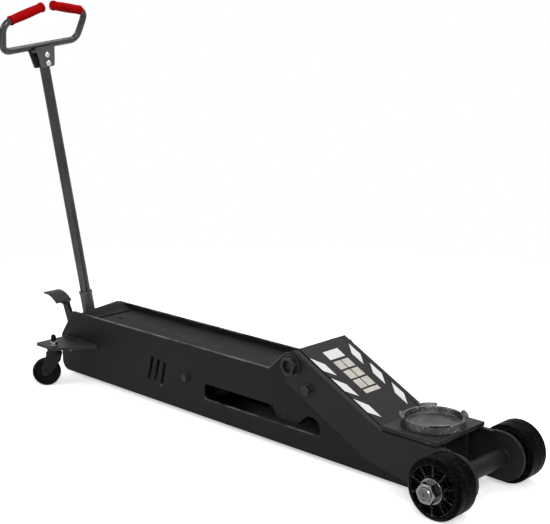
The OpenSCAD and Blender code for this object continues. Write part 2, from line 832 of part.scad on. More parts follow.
module arm_plate(side) color([0.15, 0.15, 0.16]) place() on_side(side)
    slab(arm_in, arm_out) arm_outline();

module arm_plate_left() arm_plate(1);
module arm_plate_right() arm_plate(-1);

module arm_cover() color([0.16, 0.16, 0.17]) place()
    slab(-cover_half, cover_half) polygon([
        [cover_rear, slope_z(cover_rear)],
        [cover_front, slope_z(cover_front)],
        [cover_front - cover_t * sin(slope_deg), slope_z(cover_front) - cover_t * cos(slope_deg)],
        [cover_rear - cover_t * sin(slope_deg), slope_z(cover_rear) - cover_t * cos(slope_deg)]
    ]);

cross_bar = [-300, 128];
cross_bar_r = 16;
pivot_tube_wall = 14;

module arm_cross_tube() color([0.15, 0.15, 0.16]) place() {
    bar_y(cross_bar, cross_bar_r, -arm_in + seat_gap, arm_in - seat_gap);
    difference() {
        bar_y(pivot, pivot_r + pivot_tube_wall, -arm_in + seat_gap, arm_in - seat_gap);
        bar_y(pivot, pivot_r + run_gap, -arm_in, arm_in);
    }
}

module saddle_pin() color([0.6, 0.6, 0.6]) place()
    bar_y(saddle_pin, saddle_pin_r, -arm_out, arm_out);

module crank_pin() color([0.6, 0.6, 0.6]) place()
    bar_y(crank, crank_pin_r, -arm_out, arm_out);

module crank_roller() color([0.5, 0.5, 0.5]) place() difference() {
    bar_y(crank, roller_r, -fork_out - 2, fork_out + 2);
    bar_y(crank, crank_pin_r + run_gap, -fork_out - 3, fork_out + 3);
}

rod_eye_r = 20;
rod_bar_w = 30;

module radius_rod(side) color([0.15, 0.15, 0.16]) place() on_side(side) {
    dir = unit(rod_tip - rod_anchor);
    slab(rod_in, rod_out) difference() {
        union() {
            translate(rod_anchor) circle(r = rod_eye_r);
            translate(rod_tip) circle(r = rod_eye_r);
            translate(rod_anchor) rotate(atan2(dir[1], dir[0]))
                translate([0, -rod_bar_w / 2]) square([norm(rod_tip - rod_anchor), rod_bar_w]);
        }
        translate(rod_anchor) circle(r = rod_pin_r + run_gap);
        translate(rod_tip) circle(r = rod_pin_r + run_gap);
    }
}

module radius_rod_left() radius_rod(1);
module radius_rod_right() radius_rod(-1);

// ---------- saddle ----------

bracket_y = 42;
bracket_t = 9;
stem_r = 18;

module saddle_bracket() color([0.17, 0.17, 0.18]) place() {
    for (side = [-1, 1]) on_side(side)
        slab(bracket_y, bracket_y + bracket_t) difference() {
            polygon(rounded([
                [-208, plate_low - seat_gap, 0],
                [-66, plate_low - seat_gap, 0],
                [-66, 60, 20],
                [rod_tip[0] + 4, rod_tip[1] - 19, 16],
                [rod_tip[0] - 20, rod_tip[1] - 14, 16],
                [saddle_pin[0] - 26, saddle_pin[1] - 12, 18]
            ]));
            translate(saddle_pin) circle(r = saddle_pin_r + run_gap);
            translate(rod_tip) circle(r = rod_pin_r + run_gap);
        }
}

module saddle_plate() color([0.2, 0.2, 0.21]) place() difference() {
    translate([-saddle_back - plate_l / 2, -plate_w / 2, plate_low])
        cube([plate_l, plate_w, plate_t]);
    translate([-saddle_back, 0, plate_low - 1]) cylinder(r = stem_r + run_gap, h = plate_t + 2);
}

module rod_pin() color([0.5, 0.5, 0.5]) place()
    bar_y(rod_tip, rod_pin_r, -rod_out, rod_out);

lug_deg = 34;

// Cast dish with four lugs on its rim; the stem turns in the saddle plate
module saddle() color([0.5, 0.51, 0.52]) place()
    translate([-saddle_back, 0, plate_top + 0.3]) {
        rotate_extrude($fn = 96) polygon(rounded([
            [0, 0, 0], [saddle_r, 0, 1], [saddle_r - 2, saddle_h, 1.5], [dish_r, saddle_h, 1.5],
            [dish_r - 4, 4, 3], [0, 4, 0]
        ]));
        for (i = [0:3])
            rotate([0, 0, i * 90 + 46.3 - lug_deg / 2])
                rotate_extrude(angle = lug_deg, $fn = 96) polygon(rounded([
                    [dish_r + 1, saddle_h - 2, 0], [saddle_r - 1, saddle_h - 2, 0],
                    [saddle_r + 5, saddle_h + lug_h - 2, 1], [saddle_r + 5, saddle_h + lug_h, 1],
                    [dish_r + 6, saddle_h + lug_h, 1]
                ]));
        translate([0, 0, -plate_t - 6]) cylinder(r = stem_r, h = plate_t + 7);
    }

// ---------- handle ----------

// Puts a handle piece on the pole's line; local +Z runs up the pole
module pole_place() place() translate([yoke[0], 0, yoke[1]])
    rotate([handle_cant, -handle_lean, 0]) children();

socket_low = 34;

module handle_socket() color([0.25, 0.25, 0.26]) {
    pole_place() difference() {
        union() {
            cylinder(r = socket_r, h = socket_l);
            translate([0, 0, socket_l - 8]) cylinder(r = socket_r + 1.5, h = 8);
        }
        translate([0, 0, socket_low]) cylinder(r = pole_r + run_gap, h = socket_l);
        rotate([-handle_cant, 0, 0]) translate([0, 60, 0]) rotate([90, 0, 0])
            cylinder(r = handle_pin_r + run_gap, h = 120);
    }
    place() difference() {
        union() {
            bar_y(yoke, 22, -24, 24);
            for (side = [-1, 1]) on_side(side)
                slab(11, 20) polygon(rounded([
                    [yoke[0] - 18, yoke[1], 4], [yoke[0] + 18, yoke[1], 4],
                    [yoke[0] + 9, plunger_h - 10, 8], [yoke[0] - 9, plunger_h - 10, 8]
                ]));
        }
        bar_y(yoke, handle_pin_r + run_gap, -30, 30);
        bar_y([yoke[0], plunger_h], roller_pin_r, -30, 30);
        translate([yoke[0] - roller_out - 2, -yoke_slot / 2, plunger_h - 20])
            cube([2 * roller_out + 4, yoke_slot, 20]);
        bar_y([yoke[0], plunger_h], roller_out + 0.6, -yoke_slot / 2, yoke_slot / 2);
        translate([yoke[0] + roller_out - 0.2, -yoke_slot / 2, plunger_h - head_r - 1])
            cube([roller_out, yoke_slot, 2 * head_r + 1.6]);
    }
}

module pump_roller() color([0.6, 0.6, 0.6]) place() {
    bar_y([yoke[0], plunger_h], roller_out, -yoke_slot / 2 + 0.5, yoke_slot / 2 - 0.5);
    bar_y([yoke[0], plunger_h], roller_pin_r - 0.1, -22, 22);
}

// The tube's lower end stands on the bottom of the socket
module pole() color([0.45, 0.45, 0.46]) pole_place() difference() {
    translate([0, 0, socket_low + 0.3]) cylinder(r = pole_r, h = pole_l - socket_low - 12);
    translate([0, 0, socket_low]) cylinder(r = pole_r - pole_wall, h = pole_l);
    for (z = pole_bolt_z)
        rotate([0, 0, -handle_turn]) translate([-2 * pole_r, 0, z]) rotate([0, 90, 0])
            cylinder(r = clamp_bolt_r, h = 4 * pole_r);
}

clamp_t = 4;
clamp_top = pole_l + 4;
clamp_w = [48, 76];
clamp_bolt_r = 5;
bar_seat = bar_r - 3;
pole_bolt_z = [clamp_top - 26 - clamp_pitch, clamp_top - 26];

module turned_place() pole_place() rotate([0, 0, -handle_turn]) children();

// Two tapered plates clamp the handlebar to the head of the pole
module pole_plates() color([0.3, 0.3, 0.31]) turned_place() {
    for (x = [pole_r + seat_gap, -pole_r - seat_gap - clamp_t])
        translate([x, 0, 0]) rotate([90, 0, 90]) linear_extrude(clamp_t) difference() {
            polygon(rounded([
                [-clamp_w[0] / 2, clamp_top - clamp_h, 6], [clamp_w[0] / 2, clamp_top - clamp_h, 6],
                [clamp_w[1] / 2, clamp_top, 3], [-clamp_w[1] / 2, clamp_top, 3]
            ]));
            for (z = pole_bolt_z) translate([0, z]) circle(r = clamp_bolt_r + run_gap);
        }
    difference() {
        translate([-pole_r - 1, -30, pole_l - 11]) cube([2 * pole_r + 2, 60, 13]);
        translate([0, 60, pole_l + bar_seat]) rotate([90, 0, 0]) cylinder(r = bar_r + seat_gap, h = 120);
    }
}

clamp_nut_af = 17;
clamp_nut_h = 7;
dome_r = 9.5;
dome_h = 6;

module pole_bolts() color([0.78, 0.78, 0.77]) turned_place() for (z = pole_bolt_z) translate([0, 0, z]) {
    out = pole_r + clamp_t + 2 * seat_gap;
    translate([-out - 2, 0, 0]) rotate([0, 90, 0]) cylinder(r = clamp_bolt_r - run_gap, h = 2 * out + 2);
    translate([-out - clamp_nut_h, 0, 0]) rotate([0, 90, 0])
        cylinder(r = clamp_nut_af / sqrt(3), h = clamp_nut_h, $fn = 6);
    translate([out, 0, 0]) rotate([0, 90, 0]) rotate_extrude() polygon(rounded([
        [0, 0, 0], [dome_r, 0, 0.5], [dome_r - 1.5, 4, 3], [4, dome_h, 2], [0, dome_h, 0]
    ]));
}

// The handlebar's centre line: lower run, sides, and the two inward ends
bar_bend = 30;
bar_side = [bar_half + bar_flare, 0.72 * bar_h];
grip_tip = 4;
bar_end = [grip_gap / 2 + grip_tip, bar_h];

// A bent tube through pts in the local XY plane, with bends of one radius
module bent_tube(pts, bend, r) {
    last = len(pts) - 1;
    lap = 1;
    for (i = [0:last - 1]) {
        a = pts[i];
        b = pts[i + 1];
        dir = unit(b - a);
        cut_a = i == 0 ? 0 : bend_cut(pts[i - 1], a, b, bend);
        cut_b = i == last - 1 ? 0 : bend_cut(a, b, pts[i + 2], bend);
        translate([a[0], a[1], 0] + (cut_a - (i == 0 ? 0 : lap)) * [dir[0], dir[1], 0])
            rotate([0, 0, atan2(dir[1], dir[0])])
                rotate([0, 90, 0])
                    cylinder(r = r, h = norm(b - a) - cut_a - cut_b + lap * (i == 0 || i == last - 1 ? 1 : 2));
    }
    for (i = [1:last - 1]) {
        u = unit(pts[i - 1] - pts[i]);
        w = unit(pts[i + 1] - pts[i]);
        half = acos(u * w) / 2;
        c = pts[i] + unit(u + w) * bend / sin(half);
        s = pts[i] + u * bend / tan(half) - c;
        e = pts[i] + w * bend / tan(half) - c;
        a0 = atan2(s[1], s[0]);
        turn = atan2(e[1], e[0]) - a0;
        sweep = turn > 180 ? turn - 360 : turn < -180 ? turn + 360 : turn;
        translate([c[0], c[1], 0])
            rotate([0, 0, sweep < 0 ? a0 + sweep : a0])
                rotate_extrude(angle = abs(sweep))
                    translate([bend, 0]) circle(r = r - 0.05);
    }
}

// Length of straight tube that a bend at b takes away on each side
function bend_cut(a, b, c, bend) = bend / tan(acos(unit(a - b) * unit(c - b)) / 2);

// Local X runs along the handlebar, local Y up it
module bar_place() turned_place() translate([0, 0, pole_l + bar_seat])
    rotate([0, bar_tilt, 0]) rotate([90, 0, 90]) children();

// The tube's end lies this far inside the grip's closed end
function bar_tip(side) =
    let (p = [side * bar_end[0], bar_end[1]])
    p + grip_tip * unit([side * bar_side[0], bar_side[1]] - p);

bar_path = [
    bar_tip(-1), [-bar_side[0], bar_side[1]], [-bar_half, 0],
    [bar_half, 0], [bar_side[0], bar_side[1]], bar_tip(1)
];

module handlebar() color([0.35, 0.35, 0.36]) bar_place() bent_tube(bar_path, bar_bend, bar_r);

grip_wall_gap = 0.1;
grip_swell = 1;

module grips() color([0.8, 0.08, 0.08]) bar_place() for (side = [-1, 1]) {
    start = [side * bar_end[0], bar_end[1]];
    dir = unit([side * bar_side[0], bar_side[1]] - start);
    translate([start[0], start[1], 0]) rotate([0, 0, atan2(dir[1], dir[0])]) rotate([0, 90, 0])
        rotate_extrude($fn = 48) polygon(rounded([
            [0, -grip_tip, 0], [grip_r - 1, -grip_tip, 4], [grip_r + grip_swell, grip_tip, 2],
            [grip_r - grip_swell, 2.5 * grip_tip, 2], [grip_r, grip_l / 2, 60],
            [grip_r - grip_swell, grip_l, 2], [bar_r + grip_wall_gap, grip_l, 0],
            [bar_r + grip_wall_gap, grip_tip - seat_gap, 0], [0, grip_tip - seat_gap, 0]
        ]));
}

// ---------- foot pedal ----------

tread_r = 80;
tread_mid = [-1601, 169.7];

module foot_pedal() color([0.2, 0.2, 0.21]) place() {
    // curved tread plate
    translate([0, -pedal_out, 0]) slab(-pedal_w / 2, pedal_w / 2) polygon([
        for (a = [97:-4:45]) tread_mid + (tread_r + pedal_t) * [cos(a), sin(a)],
        for (a = [45:4:97]) tread_mid + tread_r * [cos(a), sin(a)]
    ]);
    // flat stem down to the boss, with a foot under the tread and a nose at the plunger
    translate([0, -stem_out, 0]) difference() {
        union() {
            slab(-6, 6) polygon(rounded([
                [yoke[0] - 19, yoke[1] - 2, 0], [yoke[0] + 19, yoke[1] + 4, 0],
                [-1513, 184, 40], [-1537, 229, 4], [-1561, 241, 0], [-1557, 221, 8], [-1541, 182, 40]
            ]));
            slab(-13, 13) polygon(rounded([
                [-1567, 242, 0], [-1545, 230, 0], [-1539, 219, 3], [-1557, 221, 6]
            ]));
            bar_y(yoke, 20, -11, 11);
            slab(-6, 6) polygon(rounded([
                [yoke[0] - 14, yoke[1], 4], [yoke[0] + roller_out, yoke[1], 4],
                [yoke[0] + roller_out, plunger_h - 8, 6], [yoke[0] - 6, plunger_h - 12, 8]
            ]));
        }
        bar_y(yoke, handle_pin_r + run_gap, -30, 30);
    }
}

rail_left();
rail_right();
cheek_left();
cheek_right();
deck_cover();
rear_deck();
rear_brace();
front_brace();
cylinder_bulkhead();
side_bolts();
axle_tube();
front_axle();
axle_nuts();
castor_plate_left();
castor_plate_right();
castor_studs();
main_pivot_shaft();
main_pivot_nuts();
rod_anchor_bolts();
pump_block();
oil_tank();
ram_cylinder();
ram_gland();
handle_pin();
arm_plate_left();
arm_plate_right();
arm_cover();
arm_cross_tube();
saddle_pin();
crank_pin();
crank_roller();
radius_rod_left();
radius_rod_right();
saddle_bracket();
saddle_plate();
rod_pin();
saddle();
crosshead();
piston();
hand_plunger();
foot_plunger();
release_valve();
handle_socket();
pump_roller();
pole();
pole_plates();
pole_bolts();
handlebar();
grips();
foot_pedal();
castor_fork_left();
castor_fork_right();
castor_wheel_left();
castor_wheel_right();
front_wheel_left();
front_wheel_right();
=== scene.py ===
import math

import bmesh
import bpy
from mathutils import Matrix, Vector


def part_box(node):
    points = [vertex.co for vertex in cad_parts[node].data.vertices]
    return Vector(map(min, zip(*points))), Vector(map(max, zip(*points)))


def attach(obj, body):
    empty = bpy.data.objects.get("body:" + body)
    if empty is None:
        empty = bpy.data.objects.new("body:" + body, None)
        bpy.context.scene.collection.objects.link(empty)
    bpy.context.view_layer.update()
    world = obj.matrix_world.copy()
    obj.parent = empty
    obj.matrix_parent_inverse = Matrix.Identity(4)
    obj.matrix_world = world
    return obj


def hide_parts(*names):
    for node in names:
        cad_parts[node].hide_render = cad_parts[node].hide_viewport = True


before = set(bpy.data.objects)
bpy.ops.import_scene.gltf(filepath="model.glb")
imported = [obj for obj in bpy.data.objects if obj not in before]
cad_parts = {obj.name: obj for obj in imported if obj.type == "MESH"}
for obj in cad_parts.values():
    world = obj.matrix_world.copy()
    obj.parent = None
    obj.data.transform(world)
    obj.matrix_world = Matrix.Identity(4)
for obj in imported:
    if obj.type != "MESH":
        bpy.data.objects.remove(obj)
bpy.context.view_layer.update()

# ---------- Camera and studio ----------
# A camera on a tripod at head height, in front of the jack's right side.
# The jack stands on a white sweep under large soft lamps and an even sky.

camera_data = bpy.data.cameras.new("camera")
camera_data.sensor_width = 36
camera_data.lens = 74.39
camera_data.clip_end = 60
camera = bpy.data.objects.new("camera", camera_data)
bpy.context.scene.collection.objects.link(camera)
camera_right = Vector((0.7231, 0.6907, 0.0)).normalized()
camera_back = Vector((0.6753, -0.7069, 0.2101)).normalized()
camera_up = camera_back.cross(camera_right).normalized()
camera_place = Vector((2.1752, -2.1530, 1.1238))
camera_turn = Matrix((camera_right, camera_up, camera_back)).transposed()
camera.matrix_world = Matrix.Translation(camera_place) @ camera_turn.to_4x4()
bpy.context.scene.camera = camera
bpy.context.scene.view_settings.view_transform = "Standard"


def feed(tree, value, socket):
    """Sets a socket to a number, or links another node's output to it."""
    if isinstance(value, (int, float)):
        socket.default_value = value
    else:
        tree.links.new(value, socket)


def math_node(tree, operation, first, second, clamp=False):
    """One sum on two values, each of them a number or another node's output."""
    node = tree.nodes.new("ShaderNodeMath")
    node.operation = operation
    node.use_clamp = clamp
    feed(tree, first, node.inputs[0])
    feed(tree, second, node.inputs[1])
    return node.outputs[0]


def seen_directly(tree):
    """1 for camera, mirror and glass rays, 0 for the rays that light the object."""
    path = tree.nodes.new("ShaderNodeLightPath")
    seen = path.outputs["Is Camera Ray"]
    for ray in ("Is Glossy Ray", "Is Transmission Ray"):
        seen = math_node(tree, "MAXIMUM", seen, path.outputs[ray])
    return seen


def set_node(tree, kind, **values):
    """A node with some of its inputs set by name, with underscores for spaces."""
    node = tree.nodes.new(kind)
    for label, value in values.items():
        node.inputs[label.replace("_", " ")].default_value = value
    return node


def range_node(tree, value, low, high, to_low=0.0, to_high=1.0):
    """Spreads a value between two limits, and holds it there."""
    node = set_node(tree, "ShaderNodeMapRange", From_Min=low, From_Max=high, To_Min=to_low, To_Max=to_high)
    tree.links.new(value, node.inputs["Value"])
    return node.outputs["Result"]


def shader_mix(tree, factor, first, second):
    """The first shader where the factor is 0, and the second where it is 1."""
    mix = tree.nodes.new("ShaderNodeMixShader")
    for socket, source in zip(mix.inputs, (factor, first, second)):
        tree.links.new(source, socket)
    return mix.outputs[0]


sky_white = (1, 1, 1, 1)
sky = bpy.data.worlds.new("studio_sky")
bpy.context.scene.world = sky
sky.use_nodes = True
sky_tree = sky.node_tree
sky_tree.nodes.clear()
sky_lighting = set_node(sky_tree, "ShaderNodeBackground", Color=sky_white, Strength=0.42)
sky_in_view = set_node(sky_tree, "ShaderNodeBackground", Color=sky_white, Strength=1.0)
sky_mix = shader_mix(sky_tree, seen_directly(sky_tree), sky_lighting.outputs[0], sky_in_view.outputs[0])
sky_tree.links.new(sky_mix, sky_tree.nodes.new("ShaderNodeOutputWorld").inputs["Surface"])

# the paper is lit near the jack, and glows as white as the sky from glow_full outwards
floor_reach = 20
floor_drop = 0.0004
glow_start = 1.3
glow_full = 2.6
floor_mesh = bpy.data.meshes.new("studio_floor")
floor_corners = [(-1, -1), (1, -1), (1, 1), (-1, 1)]
floor_mesh.from_pydata([(x * floor_reach, y * floor_reach, 0) for x, y in floor_corners], [], [(0, 1, 2, 3)])
studio_floor = bpy.data.objects.new("studio_floor", floor_mesh)
bpy.context.scene.collection.objects.link(studio_floor)
studio_floor.location.z = -floor_drop
floor_paper = bpy.data.materials.new("white_paper")
floor_paper.use_nodes = True
paper_tree = floor_paper.node_tree
paper_tree.nodes.clear()
paper_matt = set_node(paper_tree, "ShaderNodeBsdfDiffuse", Color=(0.86, 0.86, 0.86, 1))
paper_bounce = set_node(paper_tree, "ShaderNodeBsdfDiffuse", Color=(0.5, 0.5, 0.5, 1))
paper_glow = set_node(paper_tree, "ShaderNodeEmission", Strength=1.0)
paper_soft = set_node(paper_tree, "ShaderNodeEmission", Strength=0.48)
paper_lit = paper_tree.nodes.new("ShaderNodeAddShader")
paper_tree.links.new(paper_matt.outputs[0], paper_lit.inputs[0])
paper_tree.links.new(paper_soft.outputs[0], paper_lit.inputs[1])
paper_away = paper_tree.nodes.new("ShaderNodeVectorMath")
paper_away.operation = "LENGTH"
paper_tree.links.new(paper_tree.nodes.new("ShaderNodeNewGeometry").outputs["Position"], paper_away.inputs[0])
paper_fade = range_node(paper_tree, paper_away.outputs["Value"], glow_start, glow_full)
paper_in_view = shader_mix(paper_tree, paper_fade, paper_lit.outputs[0], paper_glow.outputs[0])
paper_mix = shader_mix(paper_tree, seen_directly(paper_tree), paper_bounce.outputs[0], paper_in_view)
paper_tree.links.new(paper_mix, paper_tree.nodes.new("ShaderNodeOutputMaterial").inputs["Surface"])
floor_mesh.materials.append(floor_paper)


def soft_lamp(name, place, aim, size, watts):
    """A large flat lamp that hangs at a place and points at the aim."""
    lamp_data = bpy.data.lights.new(name, "AREA")
    lamp_data.shape = "RECTANGLE"
    lamp_data.size, lamp_data.size_y = size
    lamp_data.energy = watts
    lamp = bpy.data.objects.new(name, lamp_data)
    bpy.context.scene.collection.objects.link(lamp)
    lamp.location = place
    lamp.rotation_euler = (Vector(aim) - Vector(place)).to_track_quat("-Z", "Y").to_euler()


soft_lamp("front_lamp", place=(3.2, -2.2, 2.6), aim=(0.2, 0, 0.2), size=(2.4, 1.8), watts=105)
soft_lamp("side_lamp", place=(-1.6, -3.6, 2.2), aim=(-0.2, 0, 0.2), size=(3.0, 1.6), watts=60)
soft_lamp("top_lamp", place=(0.3, 1.2, 3.4), aim=(0, 0, 0.2), size=(3.2, 1.6), watts=80)

# ---------- Side rails ----------
# Two long plates cut from 6 mm steel, with a window, three vents and a hump at the pivot.
# They are powder coated satin black; the coat has a fine orange peel and is rubbed thin
# along the upper edges, where loads and hands slide over them, and is brightened there by a painted
# highlight.


def new_group(name, inputs, outputs):
    """An empty shader group with number inputs and outputs; returns it with its two end nodes."""
    group = bpy.data.node_groups.new(name, "ShaderNodeTree")
    for label, value in inputs:
        socket = group.interface.new_socket(label, in_out="INPUT", socket_type="NodeSocketFloat")
        socket.default_value = value
    for label in outputs:
        group.interface.new_socket(label, in_out="OUTPUT", socket_type="NodeSocketFloat")
    return group, group.nodes.new("NodeGroupInput"), group.nodes.new("NodeGroupOutput")


def noise_node(tree, place, scale, detail, roughness=0.5):
    """The strength of a noise at a place. scale is a number or another node's output."""
    node = set_node(tree, "ShaderNodeTexNoise", Detail=detail, Roughness=roughness)
    tree.links.new(place, node.inputs["Vector"])
    feed(tree, scale, node.inputs["Scale"])
    return node.outputs["Fac"]


def object_place(tree):
    """Where a point of the surface lies in its own piece, which moves with the piece."""
    return tree.nodes.new("ShaderNodeTexCoord").outputs["Object"]


def worn_and_highlit_edge_group():
    """1 on outside edges, broken up by noise: edge wear, and on some finishes a painted highlight. Width is
    in metres; Upper keeps it to edges that face up.
    """
    group, given, out = new_group(
        "worn_and_highlit_edges", (("Width", 0.0012), ("Breakup", 160.0), ("Amount", 1.0), ("Upper", 0.0)), ["Mask"])
    nodes, links = group.nodes, group.links
    round_normal = nodes.new("ShaderNodeBevel")
    round_normal.samples = 4
    links.new(given.outputs["Width"], round_normal.inputs["Radius"])
    flat = nodes.new("ShaderNodeNewGeometry")
    dot = nodes.new("ShaderNodeVectorMath")
    dot.operation = "DOT_PRODUCT"
    links.new(round_normal.outputs["Normal"], dot.inputs[0])
    links.new(flat.outputs["Normal"], dot.inputs[1])
    bend = range_node(group, dot.outputs["Value"], 0.998, 0.9)
    cut = range_node(group, noise_node(group, object_place(group), given.outputs["Breakup"], 4), 0.36, 0.6)
    split = nodes.new("ShaderNodeSeparateXYZ")
    links.new(round_normal.outputs["Normal"], split.inputs[0])
    faces_up = range_node(group, split.outputs["Z"], 0.12, 0.5)
    not_upper = math_node(group, "SUBTRACT", 1.0, given.outputs["Upper"])
    allowed = math_node(group, "MAXIMUM", faces_up, not_upper)
    both = math_node(group, "MULTIPLY", math_node(group, "MULTIPLY", bend, cut), allowed)
    links.new(math_node(group, "MULTIPLY", both, given.outputs["Amount"], clamp=True), out.inputs["Mask"])
    return group


def mottle_group():
    """Slow patches and fine grain, from 0 to 1. Stretch X below 1 draws both out along the jack."""
    group, given, out = new_group(
        "mottle_and_grain", (("Patch Scale", 9.0), ("Grain Scale", 900.0), ("Stretch X", 1.0)),
        ["Patches", "Grain"])
    nodes, links = group.nodes, group.links
    squeeze = set_node(group, "ShaderNodeCombineXYZ", Y=1, Z=1)
    links.new(given.outputs["Stretch X"], squeeze.inputs["X"])
    scaled = nodes.new("ShaderNodeVectorMath")
    scaled.operation = "MULTIPLY"
    links.new(object_place(group), scaled.inputs[0])
    links.new(squeeze.outputs["Vector"], scaled.inputs[1])
    place = scaled.outputs["Vector"]
    links.new(noise_node(group, place, given.outputs["Patch Scale"], 5, 0.6), out.inputs["Patches"])
    links.new(noise_node(group, place, given.outputs["Grain Scale"], 2), out.inputs["Grain"])
    return group


def dust_group():
    """1 where dust settles: on faces that look up, in soft uneven drifts."""
    group, given, out = new_group("settled_dust", (("Drift Scale", 14.0), ("Amount", 1.0)), ["Mask"])
    nodes, links = group.nodes, group.links
    split = nodes.new("ShaderNodeSeparateXYZ")
    links.new(nodes.new("ShaderNodeNewGeometry").outputs["Normal"], split.inputs[0])
    level = range_node(group, split.outputs["Z"], 0.55, 0.98)
    cloud = noise_node(group, object_place(group), given.outputs["Drift Scale"], 6, 0.65)
    both = math_node(group, "MULTIPLY", level, range_node(group, cloud, 0.3, 0.75))
    links.new(math_node(group, "MULTIPLY", both, given.outputs["Amount"], clamp=True), out.inputs["Mask"])
    return group


def scratch_group():
    """Thin straight scratches in two directions, 1 on the scratch."""
    group, given, out = new_group("fine_scratches", (("Scale", 700.0), ("Amount", 1.0)), ["Mask"])
    nodes, links = group.nodes, group.links
    place = object_place(group)
    lines = []
    for turn, squeeze in ((0.5, (1.0, 0.03, 0.3)), (-0.9, (0.04, 1.0, 0.3))):
        turned = set_node(group, "ShaderNodeMapping", Rotation=(0.2, 0.1, turn), Scale=squeeze)
        links.new(place, turned.inputs["Vector"])
        wave = noise_node(group, turned.outputs["Vector"], given.outputs["Scale"], 1)
        lines.append(range_node(group, wave, 0.685, 0.7))
    both = math_node(group, "MAXIMUM", lines[0], lines[1])
    links.new(math_node(group, "MULTIPLY", both, given.outputs["Amount"], clamp=True), out.inputs["Mask"])
    return group


worn_and_highlit_edges = worn_and_highlit_edge_group()
mottle = mottle_group()
settled_dust = dust_group()
fine_scratches = scratch_group()
dust_brown = (0.05, 0.048, 0.045)


def placed_group(tree, group, **values):
    """A group set into a material, with its inputs given by name (underscores for spaces)."""
    node = tree.nodes.new("ShaderNodeGroup")
    node.node_tree = group
    for label, value in values.items():
        node.inputs[label.replace("_", " ")].default_value = value
    return node


def layered(tree, below, colour, mask):
    """One colour laid over another where the mask is 1."""
    mix = tree.nodes.new("ShaderNodeMix")
    mix.data_type = "RGBA"
    if isinstance(below, tuple):
        mix.inputs["A"].default_value = (*below, 1)
    else:
        tree.links.new(below, mix.inputs["A"])
    mix.inputs["B"].default_value = (*colour, 1)
    tree.links.new(mask, mix.inputs["Factor"])
    return mix.outputs["Result"]


def surface(name, dark, light, wear_and_highlight, rough, patch=9.0, grain=900.0, stretch=1.0, depth=0.00006,
            metallic=0.0, specular=0.5, edge=0.0012, edge_amount=0.8, breakup=160.0, upper=0.0,
            dust=0.0, scratch=0.0, scratch_scale=7000.0):
    """A finish between two colours, with an edge colour for wear that on some finishes is a painted
    highlight, and dust and scratches where asked.

    rough holds its lowest and highest roughness, depth the height of its grain in metres, and
    edge the width of the line of wear and painted highlight in metres.
    """
    material = bpy.data.materials.new(name)
    material.use_nodes = True
    tree = material.node_tree
    shader = tree.nodes["Principled BSDF"]
    shader.inputs["Metallic"].default_value = metallic
    shader.inputs["Specular IOR Level"].default_value = specular
    spots = placed_group(tree, mottle, Patch_Scale=patch, Grain_Scale=grain, Stretch_X=stretch)
    spread = range_node(tree, spots.outputs["Patches"], 0.3, 0.7)
    colour = layered(tree, dark, light, spread)
    if dust:
        drifts = placed_group(tree, settled_dust, Amount=dust)
        colour = layered(tree, colour, dust_brown, drifts.outputs["Mask"])
    if scratch:
        lines = placed_group(tree, fine_scratches, Scale=scratch_scale, Amount=scratch)
        colour = layered(tree, colour, wear_and_highlight, lines.outputs["Mask"])
    # edges are lightened as wear, and on the wheels, rails and castor plates as a painted highlight
    rubbed_and_highlit = placed_group(tree, worn_and_highlit_edges, Width=edge, Amount=edge_amount, Breakup=breakup, Upper=upper)
    colour = layered(tree, colour, wear_and_highlight, rubbed_and_highlit.outputs["Mask"])
    tree.links.new(colour, shader.inputs["Base Color"])
    gloss = range_node(tree, spots.outputs["Patches"], 0.3, 0.7, *rough)
    tree.links.new(gloss, shader.inputs["Roughness"])
    bump = set_node(tree, "ShaderNodeBump", Distance=depth)
    tree.links.new(spots.outputs["Grain"], bump.inputs["Height"])
    tree.links.new(bump.outputs["Normal"], shader.inputs["Normal"])
    return material


def deburr(piece, width, angle):
    """Rounds the edges of a piece that turn by more than an angle, in degrees."""
    rounding = piece.modifiers.new("deburr", "BEVEL")
    rounding.width = width
    rounding.segments = 2
    rounding.limit_method = "ANGLE"
    rounding.angle_limit = math.radians(angle)


def finish(material, *names, edge=0.0008):
    """Gives solids their finish, and rounds their sharp edges as deburring does."""
    for name in names:
        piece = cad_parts[name]
        for holder in piece.material_slots:
            holder.link = "OBJECT"
            holder.material = material
        if edge:
            weld = piece.modifiers.new("weld", "WELD")
            weld.merge_threshold = 0.00002
            deburr(piece, edge, angle=34)
            even = piece.modifiers.new("even_normals", "WEIGHTED_NORMAL")
            even.keep_sharp = False
            even.weight = 60


# the bright band on the upper edges is partly rubbed coat and partly a painted highlight
rail_coat = surface(
    "rail_powder_coat", dark=(0.0048, 0.0048, 0.005), light=(0.008, 0.008, 0.0082), wear_and_highlight=(0.24, 0.24, 0.24),
    rough=(0.42, 0.56), specular=0.085, edge=0.0055, edge_amount=0.9, breakup=16, upper=1.0)
finish(rail_coat, "rail_left", "rail_right")

# the jack's middle plane, and how far the rails' outsides stand from it
middle_y = (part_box("rail_left")[1][1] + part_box("rail_right")[0][1]) / 2
rail_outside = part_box("rail_left")[1][1] - middle_y

# ---------- Decks and floor sheets ----------
# Folded sheets and cross plates that tie the two rails together and hide the hydraulics.
# Coated with the rails; the sunk deck is dusty and slightly scored where tools lie, and a
# rubber plug closes the oil filler.

black_coat = surface(
    "black_powder_coat", dark=(0.0062, 0.0062, 0.0064), light=(0.0098, 0.0098, 0.01),
    wear_and_highlight=(0.05, 0.05, 0.052), rough=(0.42, 0.56), specular=0.1)
deck_coat = surface(
    "deck_coat", dark=(0.0036, 0.0036, 0.0037), light=(0.0068, 0.0068, 0.007), wear_and_highlight=(0.06, 0.06, 0.062),
    rough=(0.48, 0.64), specular=0.06, patch=14, stretch=0.3, edge_amount=0.9, dust=0.08, scratch=0.35,
    scratch_scale=600)
finish(deck_coat, "deck_cover")
finish(black_coat, "rear_brace", "front_brace", "cylinder_bulkhead")


